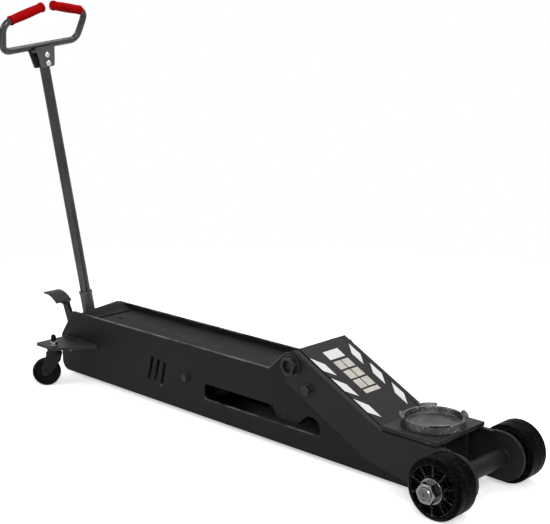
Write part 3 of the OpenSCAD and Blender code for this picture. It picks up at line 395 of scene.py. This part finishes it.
def skin(bm, rings, joined=False):
    """Faces between neighbouring rings of points; the ends are closed, or joined to each other."""
    rows = [[bm.verts.new(point) for point in points] for points in rings]
    pairs = list(zip(rows, rows[1:]))
    if joined:
        pairs.append((rows[-1], rows[0]))
    else:
        bm.faces.new(list(reversed(rows[0])))
        bm.faces.new(rows[-1])
    for low, high in pairs:
        for i in range(len(low)):
            j = (i + 1) % len(low)
            bm.faces.new((low[i], low[j], high[j], high[i]))


def made_piece(name, bm, material, body, sharp=35, edge=0.0):
    """A finished piece: its mesh, smooth except at corners over the sharp angle, riding on a body."""
    bmesh.ops.recalc_face_normals(bm, faces=bm.faces)
    mesh = bpy.data.meshes.new(name)
    bm.to_mesh(mesh)
    bm.free()
    mesh.polygons.foreach_set("use_smooth", [True] * len(mesh.polygons))
    mesh.set_sharp_from_angle(angle=math.radians(sharp))
    piece = bpy.data.objects.new(name, mesh)
    bpy.context.scene.collection.objects.link(piece)
    mesh.materials.append(material)
    if edge:
        deburr(piece, edge, angle=sharp)
    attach(piece, body)
    return piece


def corners(name):
    """The low and the high corner of a solid's box."""
    low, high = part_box(name)
    return Vector(low), Vector(high)


# the rear deck: a level stretch, then a soft fall to the sunk deck, which it laps over
deck_low, deck_high = corners("deck_cover")
rear_low, rear_high = corners("rear_deck")
rear_sheet = 0.003
rear_seat = 0.0004
rear_run = 0.046
rear_lap = 0.014
rear_least_level = 0.004
rear_corner_shift = 0.041
rear_drop = rear_high.z - deck_high.z - rear_sheet - rear_seat
slope_steps = 12
cross_steps = 24
rear_rows = []
for row in range(cross_steps + 1):
    across = row / cross_steps
    y = rear_low.y + (rear_high.y - rear_low.y) * across
    back = rear_low.x + rear_corner_shift * (1 - across)
    start = max(back + rear_least_level, rear_high.x - rear_run)
    top = [(back, rear_high.z)]
    for step in range(slope_steps + 1):
        part = step / slope_steps
        fall = (1 - math.cos(math.pi * part)) / 2
        top.append((start + (rear_high.x - start) * part, rear_high.z - rear_drop * fall))
    top.append((rear_high.x + rear_lap, rear_high.z - rear_drop))
    under = [(x, z - rear_sheet) for x, z in reversed(top)]
    rear_rows.append([(x, y, z) for x, z in top + under])
bm = bmesh.new()
skin(bm, rear_rows)
rear_cover = made_piece("rear_cover_sheet", bm, deck_coat, "frame", edge=0.0006)
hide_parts("rear_deck")


def ring(centre, axis, start, radius, along, steps=48):
    """Points round an axis, at a height along it. radius and along are numbers, or give one at an angle."""
    axis, start = Vector(axis).normalized(), Vector(start).normalized()
    side = axis.cross(start)
    points = []
    for step in range(steps):
        angle = 2 * math.pi * step / steps
        reach = radius(angle) if callable(radius) else radius
        height = along(angle) if callable(along) else along
        out = start * math.cos(angle) + side * math.sin(angle)
        points.append(Vector(centre) + axis * height + out * reach)
    return points


# the belly sheet's rear lip, which runs on under the cylinder's cross plate
belly_low, belly_high = corners("front_brace")
lip_sheet = 0.003
lip_past_plate = 0.004
lip_end_gap = 0.0002
lip_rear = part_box("cylinder_bulkhead")[0][0] - lip_past_plate
lip_front = belly_low.x - lip_end_gap
lip_top = belly_low.z + lip_sheet
lip_section = [(lip_rear, belly_low.z), (lip_front, belly_low.z), (lip_front, lip_top), (lip_rear, lip_top)]
lip_sides = (belly_low.y + lip_end_gap, belly_high.y - lip_end_gap)
bm = bmesh.new()
skin(bm, [[(x, y, z) for x, z in lip_section] for y in lip_sides])
made_piece("belly_lip", bm, black_coat, "frame", edge=0.0005)

# the oil filler's plug, as radius and height over the deck from its stem to its dimple
filler_inset = 0.06
filler_centre = (deck_low.x + filler_inset, middle_y, deck_high.z)
filler_profile = ((0.0066, -0.004), (0.0066, -0.0006), (0.0092, -0.0002), (0.0092, 0.0008), (0.0076, 0.0022),
                  (0.0032, 0.0026), (0.0026, 0.0014))
rubber = surface(
    "black_rubber", dark=(0.004, 0.004, 0.004), light=(0.008, 0.008, 0.008), wear_and_highlight=(0.02, 0.02, 0.02),
    rough=(0.55, 0.75), specular=0.12, patch=60, grain=700, dust=0.25)
bm = bmesh.new()
skin(bm, [ring(filler_centre, (0, 0, 1), (1, 0, 0), reach, height) for reach, height in filler_profile])
made_piece("filler_plug", bm, rubber, "frame")

# ---------- Front cheeks and axle ----------
# Thick plates with a folded top that overlap the rails, and the tube and axle they carry.
# Pressed and profile-cut steel; the tube is welded in with a ring bead at each end.

cheek_coat = surface(
    "cheek_powder_coat", dark=(0.008, 0.008, 0.0082), light=(0.0125, 0.0125, 0.0127),
    wear_and_highlight=(0.075, 0.075, 0.077), rough=(0.4, 0.54), specular=0.11, edge=0.002, edge_amount=0.6, upper=1.0)
finish(cheek_coat, "cheek_left", "cheek_right", edge=0.0012)
finish(black_coat, "axle_tube")


def weld_bead(bm, path, radius, closed=False, pitch=0.0055, step=0.0018, ripple=0.13):
    """A rippled bead of weld along a path of points, with rounded ends where it isn't closed."""
    points = [Vector(point) for point in path]
    if closed:
        points.append(points[0])
    walk = []
    for first, last in zip(points, points[1:]):
        count = max(1, round((last - first).length / step))
        walk += [first.lerp(last, i / count) for i in range(count)]
    if not closed:
        walk.append(points[-1])
    blunt_end = 0.0004
    rounded_run = 1.5 * radius
    rings = []
    for i, here in enumerate(walk):
        ahead = walk[(i + 1) % len(walk)] if closed else walk[min(i + 1, len(walk) - 1)]
        behind = walk[i - 1] if closed else walk[max(i - 1, 0)]
        along = (ahead - behind).normalized()
        swell = 1 + ripple * math.cos(2 * math.pi * i * step / pitch)
        if not closed:
            from_end = min(i, len(walk) - 1 - i) * step
            swell *= math.sqrt(min(1.0, (from_end + blunt_end) / rounded_run))
        start = along.orthogonal() if abs(along.z) > 0.9 else along.cross(Vector((0, 0, 1)))
        rings.append(ring(here, along, start, radius * swell, 0.0, steps=8))
    skin(bm, rings, joined=closed)


weld_coat = surface(
    "coated_weld", dark=(0.007, 0.007, 0.0072), light=(0.012, 0.012, 0.0122), wear_and_highlight=(0.05, 0.05, 0.052),
    rough=(0.34, 0.46), specular=0.12, patch=80, grain=500)
tube_low, tube_high = corners("axle_tube")
axle_middle = (tube_low + tube_high) / 2
tube_radius = (tube_high.z - tube_low.z) / 2
ring_bead = 0.0028
bead_inset = 0.0006
bead_rise = 0.0008
bm = bmesh.new()
for side in (-1, 1):
    centre = axle_middle + Vector((0, (tube_high.y - axle_middle.y - bead_inset) * side, 0))
    weld_bead(bm, ring(centre, (0, 1, 0), (1, 0, 0), tube_radius + bead_rise, 0.0), ring_bead, closed=True)
made_piece("axle_tube_welds", bm, weld_coat, "frame", sharp=60)

# ---------- Front wheels ----------
# Solid cast wheels with a ribbed face and a grooved tread, running on the axle.
# Coated deep black with almost no sheen; the bright hairlines on the ribs, the rim and the shoulders are
# painted highlights.

# the edge colour draws painted highlights, which stand in for the sheen that the low specular leaves out
wheel_black = surface(
    "wheel_black", dark=(0.0003, 0.0003, 0.0003), light=(0.0011, 0.0011, 0.0011), wear_and_highlight=(0.2, 0.2, 0.2),
    rough=(0.3, 0.46), specular=0.012, patch=36, grain=420, depth=0.00012, edge=0.0014, edge_amount=0.95,
    scratch=0.12, scratch_scale=900)
finish(wheel_black, "front_wheel_left", "front_wheel_right", edge=0.0007)

# ---------- Axle nuts ----------
# A washer, a chamfered hexagon nut and the threaded end of the axle, outside each wheel.
# Zinc plated steel, with a spacer of the same between the wheel and the cheek.

zinc = surface(
    "zinc_plate", dark=(0.09, 0.0905, 0.093), light=(0.19, 0.191, 0.195), wear_and_highlight=(0.6, 0.6, 0.61),
    rough=(0.16, 0.32), metallic=1.0, patch=90, grain=1200, depth=0.00003, edge=0.0009, edge_amount=0.7)
turned_steel = surface(
    "turned_steel", dark=(0.06, 0.06, 0.062), light=(0.12, 0.12, 0.123), wear_and_highlight=(0.42, 0.42, 0.42),
    rough=(0.26, 0.4), metallic=1.0, patch=60, grain=1400, depth=0.00002, edge_amount=0.4)


def hexagon(across):
    """The radius of a hexagon at an angle, with a corner at the start direction."""
    return lambda angle: across / 2 / math.cos(angle % (math.pi / 3) - math.pi / 6)


def nut(bm, seat, axis, start, across, height, bore=0.0):
    """A hexagon nut with both faces chamfered, or a bolt head where it has no bore."""
    corner = hexagon(across)
    flat = 0.965 * across / 2
    chamfer = math.tan(math.radians(30))
    seat_chamfer = 0.6
    lead_in = 0.09 * bore
    dish = 0.0006

    def cut(angle):
        return max(0.0, corner(angle) - flat) * chamfer

    outline = [(flat, 0.0), (corner, lambda angle: cut(angle) * seat_chamfer),
               (corner, lambda angle: height - cut(angle)), (flat, height)]
    if bore:
        outline += [(bore + lead_in, height), (bore, height - lead_in), (bore, 0.0)]
    else:
        outline += [(flat * 0.8, height), (flat * 0.74, height - dish)]
    rings = [ring(seat, axis, start, reach, along, steps=72) for reach, along in outline]
    skin(bm, rings, joined=bool(bore))


def washer(bm, seat, axis, start, outer, bore, thick, chamfer=0.0004):
    """A flat washer with broken edges."""
    profile = ((bore, 0.0), (outer - chamfer, 0.0), (outer, chamfer), (outer, thick - chamfer),
               (outer - chamfer, thick), (bore, thick))
    skin(bm, [ring(seat, axis, start, reach, height, steps=64) for reach, height in profile], joined=True)


def threaded_end(bm, seat, axis, start, radius, length, pitch=0.0016):
    """The thread that shows past a nut: close ridges round the bar, which shows at its own end."""
    root = radius + 0.0001
    crest = radius + 0.0007
    inside = root - 0.0006
    end = length - 0.0002
    outline = [(inside, 0.0)]
    height = 0.0
    while height < length - pitch:
        outline += [(root, height), (crest, height + pitch / 2)]
        height += pitch
    outline += [(root, end), (inside, end)]
    skin(bm, [ring(seat, axis, start, reach, along) for reach, along in outline], joined=True)


# a loose piece stands off the face it sits on, and off the bar it is pushed on
face_gap = 0.0003
ring_gap = 0.0002
nuts_high = corners("axle_nuts")[1]
axle_low, axle_high = corners("front_axle")
axle_radius = (axle_high.z - axle_low.z) / 2
axle_washer = 0.004
axle_nut_high = 0.022
axle_nut_across = 0.046
axle_nut_play = 0.0009
spacer_wall = 0.0065
spacer_play = 0.0008
cheek_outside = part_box("cheek_left")[1][1] - middle_y
hub_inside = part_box("front_wheel_left")[0][1] - middle_y
bm = bmesh.new()
for side in (-1, 1):
    out = (0, side, 0)
    end = nuts_high.y - middle_y
    seat = Vector((axle_middle.x, middle_y + side * (end - axle_nut_high), axle_middle.z))
    washer(bm, seat - Vector(out) * axle_washer, out, (1, 0, 0), nuts_high.z - axle_middle.z - face_gap,
           axle_radius + ring_gap, axle_washer - ring_gap)
    nut(bm, seat, out, (1, 0, 0), axle_nut_across, axle_nut_high, bore=axle_radius + axle_nut_play)
    threaded_end(bm, seat + Vector(out) * axle_nut_high, out, (1, 0, 0), axle_radius,
                 axle_high.y - middle_y - end)
    spacer = Vector((axle_middle.x, middle_y + side * (cheek_outside + face_gap), axle_middle.z))
    washer(bm, spacer, out, (1, 0, 0), axle_radius + spacer_wall, axle_radius + ring_gap,
           hub_inside - cheek_outside - spacer_play)
axle_fasteners = made_piece("axle_fasteners", bm, zinc, "frame", sharp=25)
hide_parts("axle_nuts")
finish(turned_steel, "front_axle", edge=0.0006)

# ---------- Castors ----------
# Bought-in castors under two triangular plates that are welded to the rails.
# Pressed black forks with moulded black wheels, held by a plated stud with a black cap.

# the plates' bright edges are a painted highlight, where the front light catches their thick edges
castor_plate_coat = surface(
    "castor_plate_coat", dark=(0.012, 0.012, 0.0122), light=(0.026, 0.026, 0.0262), wear_and_highlight=(0.1, 0.1, 0.102),
    rough=(0.4, 0.56), specular=0.12, patch=26, stretch=0.5, edge=0.003, edge_amount=0.8, dust=0.2)
finish(castor_plate_coat, "castor_plate_left", "castor_plate_right")
finish(black_coat, "castor_fork_left", "castor_fork_right")
castor_plastic = surface(
    "castor_plastic", dark=(0.0012, 0.0012, 0.0012), light=(0.003, 0.003, 0.003), wear_and_highlight=(0.05, 0.05, 0.05),
    rough=(0.36, 0.55), specular=0.05, patch=40, grain=500, edge_amount=0.7)
finish(castor_plastic, "castor_wheel_left", "castor_wheel_right", edge=0.0006)

plate_low, plate_high = corners("castor_plate_right")
plate_bead = 0.0026
bead_off_rail = 0.0006
bead_off_plate = 0.0002
bead_runs = ((0.004, 0.048), (0.062, 0.106), (0.12, 0.158))
bm = bmesh.new()
for side in (-1, 1):
    y = middle_y + side * (rail_outside + bead_off_rail)
    for z in (plate_low.z - bead_off_plate, plate_high.z + bead_off_plate):
        for start, end in bead_runs:
            weld_bead(bm, [(plate_low.x + start, y, z), (plate_low.x + end, y, z)], plate_bead)
made_piece("castor_plate_welds", bm, weld_coat, "frame", sharp=60)

stud_low, stud_high = corners("castor_studs")
stud_x = (stud_low.x + stud_high.x) / 2
stud_out = stud_high.y - middle_y - (stud_high.x - stud_low.x) / 2
stud_radius = 0.0062
stud_core = stud_radius - 0.0001
stem_radius = 0.0078
stem_flange = 0.0125
stem_flange_high = 0.005
stud_washer = 0.0135
stud_washer_thick = 0.0024
stud_nut_across = 0.021
stud_nut_high = 0.0115
stud_nut_lift = 0.0029
stem_step = 0.0002
cap_radius = 0.008
cap_foot = 0.142
cap_grip = 0.002
flange_top = stud_low.z + stem_flange_high
stem_profile = ((stem_flange, stud_low.z), (stem_flange, flange_top), (stem_radius, flange_top + stem_step),
                (stem_radius, plate_high.z + stem_step), (stud_core, plate_high.z + 2 * stem_step),
                (stud_core, cap_foot + cap_grip))
cap_profile = ((0.0064, 0.0), (0.0074, 0.0006), (cap_radius, 0.005), (cap_radius, 0.0115), (0.0072, 0.016),
               (0.0052, 0.0192), (0.0024, 0.0207))
bm = bmesh.new()
caps = bmesh.new()
for side in (-1, 1):
    foot = Vector((stud_x, middle_y + side * stud_out, 0))
    up = Vector((0, 0, 1))
    washer(bm, foot + up * (plate_high.z + face_gap), up, (1, 0, 0), stud_washer, stud_radius,
           stud_washer_thick)
    nut(bm, foot + up * (plate_high.z + stud_nut_lift), up, (1, 1, 0), stud_nut_across, stud_nut_high,
        bore=stud_radius)
    skin(bm, [ring(foot, up, (1, 0, 0), reach, height) for reach, height in stem_profile])
    skin(caps, [ring(foot, up, (1, 0, 0), reach, cap_foot + height) for reach, height in cap_profile])
studs = made_piece("castor_stud_nuts", bm, zinc, "frame", sharp=25)
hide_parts("castor_studs")
made_piece("castor_stud_caps", caps, castor_plastic, "frame")

# ---------- Main pivot and side bolts ----------
# The arm's pivot shaft with a large nut and washer each side, the radius rods' anchor bolts
# and the bolts of the cylinder's cross plate. Painted with the frame, rubbed on the corners.

bolt_coat = surface(
    "painted_bolt", dark=(0.0065, 0.0065, 0.0067), light=(0.013, 0.013, 0.0132), wear_and_highlight=(0.16, 0.16, 0.162),
    rough=(0.3, 0.45), specular=0.16, patch=120, grain=900, edge=0.0011, edge_amount=0.8)
finish(bolt_coat, "main_pivot_shaft", edge=0.0008)

pivot_low, pivot_high = corners("main_pivot_nuts")
shaft_low, shaft_high = corners("main_pivot_shaft")
pivot_middle = (pivot_low + pivot_high) / 2
shaft_radius = (shaft_high.z - shaft_low.z) / 2
pivot_washer_thick = 0.0036
pivot_nut_seat = 0.004
pivot_nut_across = 0.044
bm = bmesh.new()
for side in (-1, 1):
    out = Vector((0, side, 0))
    face = Vector((pivot_middle.x, middle_y + side * cheek_outside, pivot_middle.z))
    washer(bm, face + out * face_gap, out, (1, 0, 0), pivot_high.z - pivot_middle.z, shaft_radius + ring_gap,
           pivot_washer_thick)
    nut(bm, face + out * pivot_nut_seat, out, (0.9, 0, 0.2), pivot_nut_across,
        pivot_high.y - middle_y - cheek_outside - pivot_nut_seat, bore=shaft_radius + face_gap)
pivot_nuts = made_piece("pivot_nuts", bm, bolt_coat, "frame", sharp=25)
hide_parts("main_pivot_nuts")


def bolt_pair(name, node, seat_out, washer_radius, washer_thick, across, bolt_radius, turn):
    """A washer and a bolt head outside each side plate, with the bolt's shank behind it."""
    low, high = corners(node)
    centre = (low + high) / 2
    start = (math.cos(turn), 0, math.sin(turn))
    shank_ends = (0.0, 0.028)
    shank_radius = bolt_radius - 0.0001
    washer_seat = washer_thick - 0.0004
    heads = bmesh.new()
    for side in (-1, 1):
        out = Vector((0, side, 0))
        face = Vector((centre.x, middle_y + side * seat_out, centre.z))
        head = face + out * washer_thick
        washer(heads, face + out * face_gap, out, (1, 0, 0), washer_radius, bolt_radius, washer_seat)
        nut(heads, head, out, start, across, high.y - middle_y - seat_out - washer_thick)
        skin(heads, [ring(head, -out, (1, 0, 0), shank_radius, depth, steps=32) for depth in shank_ends])
    bolts = made_piece(name, heads, bolt_coat, "frame", sharp=25)
    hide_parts(node)


bolt_pair("anchor_bolt_heads", "rod_anchor_bolts", cheek_outside, washer_radius=0.015, washer_thick=0.003,
          across=0.024, bolt_radius=0.008, turn=0.3)
bolt_pair("side_bolt_heads", "side_bolts", rail_outside, washer_radius=0.012, washer_thick=0.002,
          across=0.019, bolt_radius=0.0059, turn=0.9)

# ---------- Lifting arm ----------
# A welded box of two plates and a top cover, with the crank that the ram pushes.
# Coated black inside and out; the cover is darkened along its two gaps by painted shade.

finish(black_coat, "arm_plate_left", "arm_plate_right", "arm_cross_tube")
finish(black_coat, "radius_rod_left", "radius_rod_right")
finish(bolt_coat, "crank_pin", edge=0.0006)
finish(turned_steel, "crank_roller", "rod_pin", "saddle_pin", edge=0.0006)

cover_coat = surface(
    "arm_cover_coat", dark=(0.0085, 0.0085, 0.0087), light=(0.013, 0.013, 0.0132), wear_and_highlight=(0.06, 0.06, 0.062),
    rough=(0.4, 0.54), specular=0.11, patch=12, edge_amount=0.5, dust=0.08)
# painted shade along the two gaps, where shadow falls: a black with no sheen, so it is laid on as a black
# metal
cover_low, cover_high = corners("arm_cover")
cover_half = (cover_high.y - cover_low.y) / 2
gap_shade_black = (0.0003, 0.0003, 0.0003)
gap_shade_starts = cover_half - 0.0032
gap_shade_full = cover_half - 0.0022
cover_tree = cover_coat.node_tree
cover_shader = cover_tree.nodes["Principled BSDF"]
cover_place = cover_tree.nodes.new("ShaderNodeSeparateXYZ")
cover_tree.links.new(object_place(cover_tree), cover_place.inputs[0])
off_middle = math_node(cover_tree, "SUBTRACT", cover_place.outputs["Y"], middle_y)
sideways = math_node(cover_tree, "MAXIMUM", off_middle, math_node(cover_tree, "MULTIPLY", off_middle, -1.0))
# the painted shade's mask: 1 in a narrow band along each side of the cover
gap_shade = range_node(cover_tree, sideways, gap_shade_starts, gap_shade_full)
unshaded_colour = cover_shader.inputs["Base Color"].links[0].from_socket
gap_shaded_colour = layered(cover_tree, unshaded_colour, gap_shade_black, gap_shade)
cover_tree.links.new(gap_shaded_colour, cover_shader.inputs["Base Color"])
cover_tree.links.new(gap_shade, cover_shader.inputs["Metallic"])
finish(cover_coat, "arm_cover")

# ---------- Arm label ----------
# A screen-printed film on the arm's cover: pale warning lozenges down both sides, a blank
# name plate, blank picture tiles and a blank strip. It carries no words and no signs.

# heights on the label are counted in millimetres from a line 4.5 mm below the cover's foot
label_zero = 4.5
film_seat = 0.00005
film_thick = 0.00028
cover_slope = math.radians(27.1)
cover_sheet = 0.006
cover_foot = Vector((cover_high.x, middle_y, cover_low.z + cover_sheet * math.cos(cover_slope)))
up_slope = Vector((-math.cos(cover_slope), 0, math.sin(cover_slope)))
off_slope = Vector((math.sin(cover_slope), 0, math.cos(cover_slope)))


def on_cover(up, across, lift):
    """A point on the cover, in millimetres up its slope and across from the middle, lifted off it."""
    sideways = Vector((0, across / 1000, 0))
    return cover_foot + up_slope * ((up - label_zero) / 1000) + sideways + off_slope * lift


def film_patch(bm, outline):
    """One printed patch: a thin plate with the given outline on the cover."""
    heights = (film_seat, film_seat + film_thick)
    skin(bm, [[on_cover(up, across, height) for up, across in outline] for height in heights])


def film_tile(bm, low, high, left, right):
    """A printed patch with square corners."""
    film_patch(bm, [(low, left), (high, left), (high, right), (low, right)])


white_film = surface(
    "white_film", dark=(0.52, 0.52, 0.53), light=(0.62, 0.62, 0.63), wear_and_highlight=(0.4, 0.4, 0.4),
    rough=(0.4, 0.55), specular=0.15, patch=30, grain=1500, depth=0.00001, edge_amount=0.2, scratch=0.12)
cream_film = surface(
    "cream_film", dark=(0.36, 0.34, 0.3), light=(0.48, 0.45, 0.4), wear_and_highlight=(0.28, 0.26, 0.23),
    rough=(0.4, 0.55), specular=0.15, patch=45, grain=1500, depth=0.00001, edge_amount=0.2, scratch=0.15)
lozenge_top = 279
lozenge_pitch = 82.5
right_lozenge = ((0, -82), (-34, -57), (-80, -57), (-52, -82))
left_lozenge = ((8, 82), (-38, 82), (-73, 58), (-27, 58))
panel_left = -27
panel_right = 31
bm = bmesh.new()
for row in range(3):
    start = lozenge_top - lozenge_pitch * row
    for lozenge in (right_lozenge, left_lozenge):
        film_patch(bm, [(start + up, across) for up, across in lozenge])
film_tile(bm, low=252, high=284, left=panel_left, right=panel_right)
made_piece("label_lozenges", bm, white_film, "lift_arm")
tile_rows = ((212, 243), (174, 205), (136, 168))
tile_columns = ((panel_left, 0), (4, panel_right))
bm = bmesh.new()
for low, high in tile_rows:
    for left, right in tile_columns:
        film_tile(bm, low, high, left, right)
film_tile(bm, low=116, high=130, left=panel_left, right=panel_right)
made_piece("label_tiles", bm, cream_film, "lift_arm")

# ---------- Saddle carrier ----------
# A square plate on a fabricated bracket that the radius rods keep level.
# Coated with the frame; the plate is dusty and scored round the saddle.

finish(black_coat, "saddle_bracket")
plate_coat = surface(
    "saddle_plate_coat", dark=(0.009, 0.009, 0.0092), light=(0.0145, 0.0145, 0.0147),
    wear_and_highlight=(0.085, 0.085, 0.087), rough=(0.38, 0.54), specular=0.11, edge=0.0016, edge_amount=0.8, dust=0.15,
    scratch=0.4, scratch_scale=700)
finish(plate_coat, "saddle_plate", edge=0.001)

# ---------- Saddle ----------
# A cast steel dish with four lugs on its rim, turned on a stem in the saddle plate.
# Bare casting with a machined floor; the rim and the lugs are rubbed bright.


def turned_rings_group():
    """Fine concentric tool marks round an axis that stands at X and Y, from 0 to 1."""
    group, given, out = new_group("turned_rings", (("X", 0.0), ("Y", 0.0), ("Pitch", 0.0012)), ["Rings"])
    nodes, links = group.nodes, group.links
    split = nodes.new("ShaderNodeSeparateXYZ")
    links.new(object_place(group), split.inputs[0])
    dx = math_node(group, "SUBTRACT", split.outputs["X"], given.outputs["X"])
    dy = math_node(group, "SUBTRACT", split.outputs["Y"], given.outputs["Y"])
    dx_squared = math_node(group, "MULTIPLY", dx, dx)
    dy_squared = math_node(group, "MULTIPLY", dy, dy)
    far = math_node(group, "POWER", math_node(group, "ADD", dx_squared, dy_squared), 0.5)
    turns = math_node(group, "DIVIDE", far, given.outputs["Pitch"])
    wave = math_node(group, "SINE", math_node(group, "MULTIPLY", turns, 2 * math.pi), 0.0)
    half = math_node(group, "MULTIPLY", wave, 0.5)
    links.new(math_node(group, "ADD", half, 0.5), out.inputs["Rings"])
    return group


saddle_low, saddle_high = corners("saddle")
saddle_middle = (saddle_low + saddle_high) / 2
cast_steel = surface(
    "cast_steel", dark=(0.03, 0.03, 0.0305), light=(0.072, 0.072, 0.073), wear_and_highlight=(0.34, 0.34, 0.342),
    rough=(0.3, 0.5), metallic=0.8, patch=55, grain=330, depth=0.0004, edge=0.0016, edge_amount=0.9,
    scratch=0.6, scratch_scale=800)
cast_tree = cast_steel.node_tree
cast_shader = cast_tree.nodes["Principled BSDF"]
tool_marks = placed_group(cast_tree, turned_rings_group(), X=saddle_middle.x, Y=saddle_middle.y)
cast_bump = cast_shader.inputs["Normal"].links[0].from_node
ring_bump = set_node(cast_tree, "ShaderNodeBump", Distance=0.00003)
cast_tree.links.new(tool_marks.outputs["Rings"], ring_bump.inputs["Height"])
cast_tree.links.new(cast_bump.outputs["Normal"], ring_bump.inputs["Normal"])
cast_tree.links.new(ring_bump.outputs["Normal"], cast_shader.inputs["Normal"])
finish(cast_steel, "saddle", edge=0.0012)

# ---------- Hydraulics ----------
# Pump block, oil tank and ram between the rails, seen through the window.
# Block, tank, crosshead and cylinder are painted; gland, piston rod and plungers are ground steel.

casting_paint = surface(
    "casting_paint", dark=(0.005, 0.005, 0.0052), light=(0.0095, 0.0095, 0.0097), wear_and_highlight=(0.04, 0.04, 0.041),
    rough=(0.45, 0.6), specular=0.1, patch=30, grain=300, depth=0.0002, dust=0.1)
finish(casting_paint, "pump_block", "oil_tank", "crosshead")
ram_paint = surface(
    "ram_paint", dark=(0.018, 0.018, 0.0182), light=(0.03, 0.03, 0.0302), wear_and_highlight=(0.06, 0.06, 0.06),
    rough=(0.3, 0.42), specular=0.3)
finish(ram_paint, "ram_cylinder")
finish(turned_steel, "ram_gland", "piston", "hand_plunger", "foot_plunger", "release_valve", "pump_roller",
       "handle_pin", edge=0.0005)

# ---------- Handle ----------
# A steel tube in a socket, with a bent bar held to its head by two bolted plates.
# The tube and the bar are coated a glossy metallic grey; the socket and the plates are duller.

grey_coat = surface(
    "grey_tube_coat", dark=(0.034, 0.0345, 0.036), light=(0.06, 0.061, 0.063), wear_and_highlight=(0.24, 0.24, 0.24),
    rough=(0.15, 0.24), metallic=0.9, specular=0.4, patch=12, grain=1100, depth=0.00003)
finish(grey_coat, "pole", "handlebar", edge=0.0004)
plate_grey = surface(
    "plate_grey", dark=(0.05, 0.0505, 0.052), light=(0.08, 0.0805, 0.082), wear_and_highlight=(0.18, 0.18, 0.18),
    rough=(0.32, 0.46), metallic=0.6, patch=24, grain=700, scratch=0.25, scratch_scale=900)
finish(plate_grey, "handle_socket", "pole_plates")
bright_zinc = surface(
    "bright_zinc", dark=(0.42, 0.42, 0.43), light=(0.6, 0.6, 0.61), wear_and_highlight=(0.8, 0.8, 0.8),
    rough=(0.16, 0.28), metallic=1.0, patch=120, grain=1200, depth=0.00002, edge_amount=0.4)
finish(bright_zinc, "pole_bolts", edge=0.0004)

# ---------- Grips ----------
# Soft red sleeves pushed on the bar's two ends, with a collar at each end, a swollen middle
# and shallow grooves along them. Moulded in vinyl.

grip_red = surface(
    "grip_red", dark=(0.26, 0.0012, 0.0016), light=(0.36, 0.002, 0.0024), wear_and_highlight=(0.42, 0.008, 0.009),
    rough=(0.34, 0.48), specular=0.012, patch=24, grain=900, depth=0.00004, edge=0.0014, edge_amount=0.4)
# the plain sleeves' corners, each once and in a fixed order, give each sleeve's place and size
grip_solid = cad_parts["grips"].data
grip_corners = {tuple(round(number, 5) for number in vertex.co) for vertex in grip_solid.vertices}
grip_points = [Vector(corner) for corner in sorted(grip_corners)]
grip_middle = sum(grip_points, Vector()) / len(grip_points)
grip_ribs = 12
grip_steps = 96
grip_share = 0.97
tip_inset = 0.003
foot_band = 0.001
groove_depth = 0.0011
body_share = 0.885
body_swell = 0.075
body_steps = 10
body_start = 0.0165
body_stop = 0.012


def long_axis(points, centre, rounds=8):
    """The direction in which points lie furthest from their centre, by repeated weighing."""
    far = max(points, key=lambda point: (point - centre).length)
    axis = (far - centre).normalized()
    for _ in range(rounds):
        spread = Vector()
        for point in points:
            away = point - centre
            spread += away * away.dot(axis)
        axis = spread.normalized()
    return axis


def grooved(reach, depth):
    """The radius of a sleeve at an angle, with shallow grooves between its ribs."""
    return lambda angle: reach - depth * max(0.0, math.cos(grip_ribs * angle)) ** 3


bm = bmesh.new()
for side in (-1, 1):
    own = [point for point in grip_points if (point.y - grip_middle.y) * side > 0]
    centre = sum(own, Vector()) / len(own)
    axis = long_axis(own, centre)
    if axis.dot(grip_middle - centre) < 0:
        axis = -axis
    along = [(point - centre).dot(axis) for point in own]
    tip, foot = max(along) - tip_inset, min(along)
    length = tip - foot
    off_axis = [(point - centre - axis * height).length for point, height in zip(own, along)]
    outer = grip_share * max(off_axis)
    inner = min(reach for reach, height in zip(off_axis, along) if height < foot + foot_band)
    # share of the outer radius, distance from the tip and depth of the grooves
    profile = [
        (0.38, 0.0022, 0), (0.66, 0.0022, 0), (0.72, 0.0002, 0), (0.88, 0.0002, 0), (0.985, 0.0022, 0),
        (1, 0.0045, 0), (1, 0.0085, 0), (0.955, 0.0105, 0), (0.9, 0.012, 0), (body_share, 0.0135, 0.0002)]
    for step in range(body_steps + 1):
        part = step / body_steps
        profile.append((body_share + body_swell * math.sin(math.pi * part),
                        body_start + (length - body_start - body_stop) * part, groove_depth))
    bore_share = (inner + ring_gap) / outer
    profile += [
        (body_share, length - 0.0105, 0.0002), (0.93, length - 0.0085, 0), (0.955, length - 0.0065, 0),
        (0.955, length - 0.0012, 0), (0.9, length - 0.0002, 0), (bore_share, length - 0.0002, 0),
        (bore_share, 0.0085, 0)]
    start = axis.orthogonal()
    tip_place = centre + axis * tip
    skin(bm, [ring(tip_place, -axis, start, grooved(share * outer, depth), down, steps=grip_steps)
              for share, down, depth in profile])
sleeves = made_piece("grip_sleeves", bm, grip_red, "handle", sharp=50)
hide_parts("grips")

# ---------- Foot pedal ----------
# A bent tread plate welded on a flat stem that turns on the handle's pin.
# Coated black, with the tread rubbed by shoes.

pedal_coat = surface(
    "pedal_coat", dark=(0.0062, 0.0062, 0.0064), light=(0.011, 0.011, 0.0112), wear_and_highlight=(0.09, 0.09, 0.092),
    rough=(0.36, 0.52), specular=0.12, patch=40, grain=350, depth=0.00015, edge=0.0016, edge_amount=0.9,
    dust=0.2, scratch=0.5, scratch_scale=900)
finish(pedal_coat, "foot_pedal")
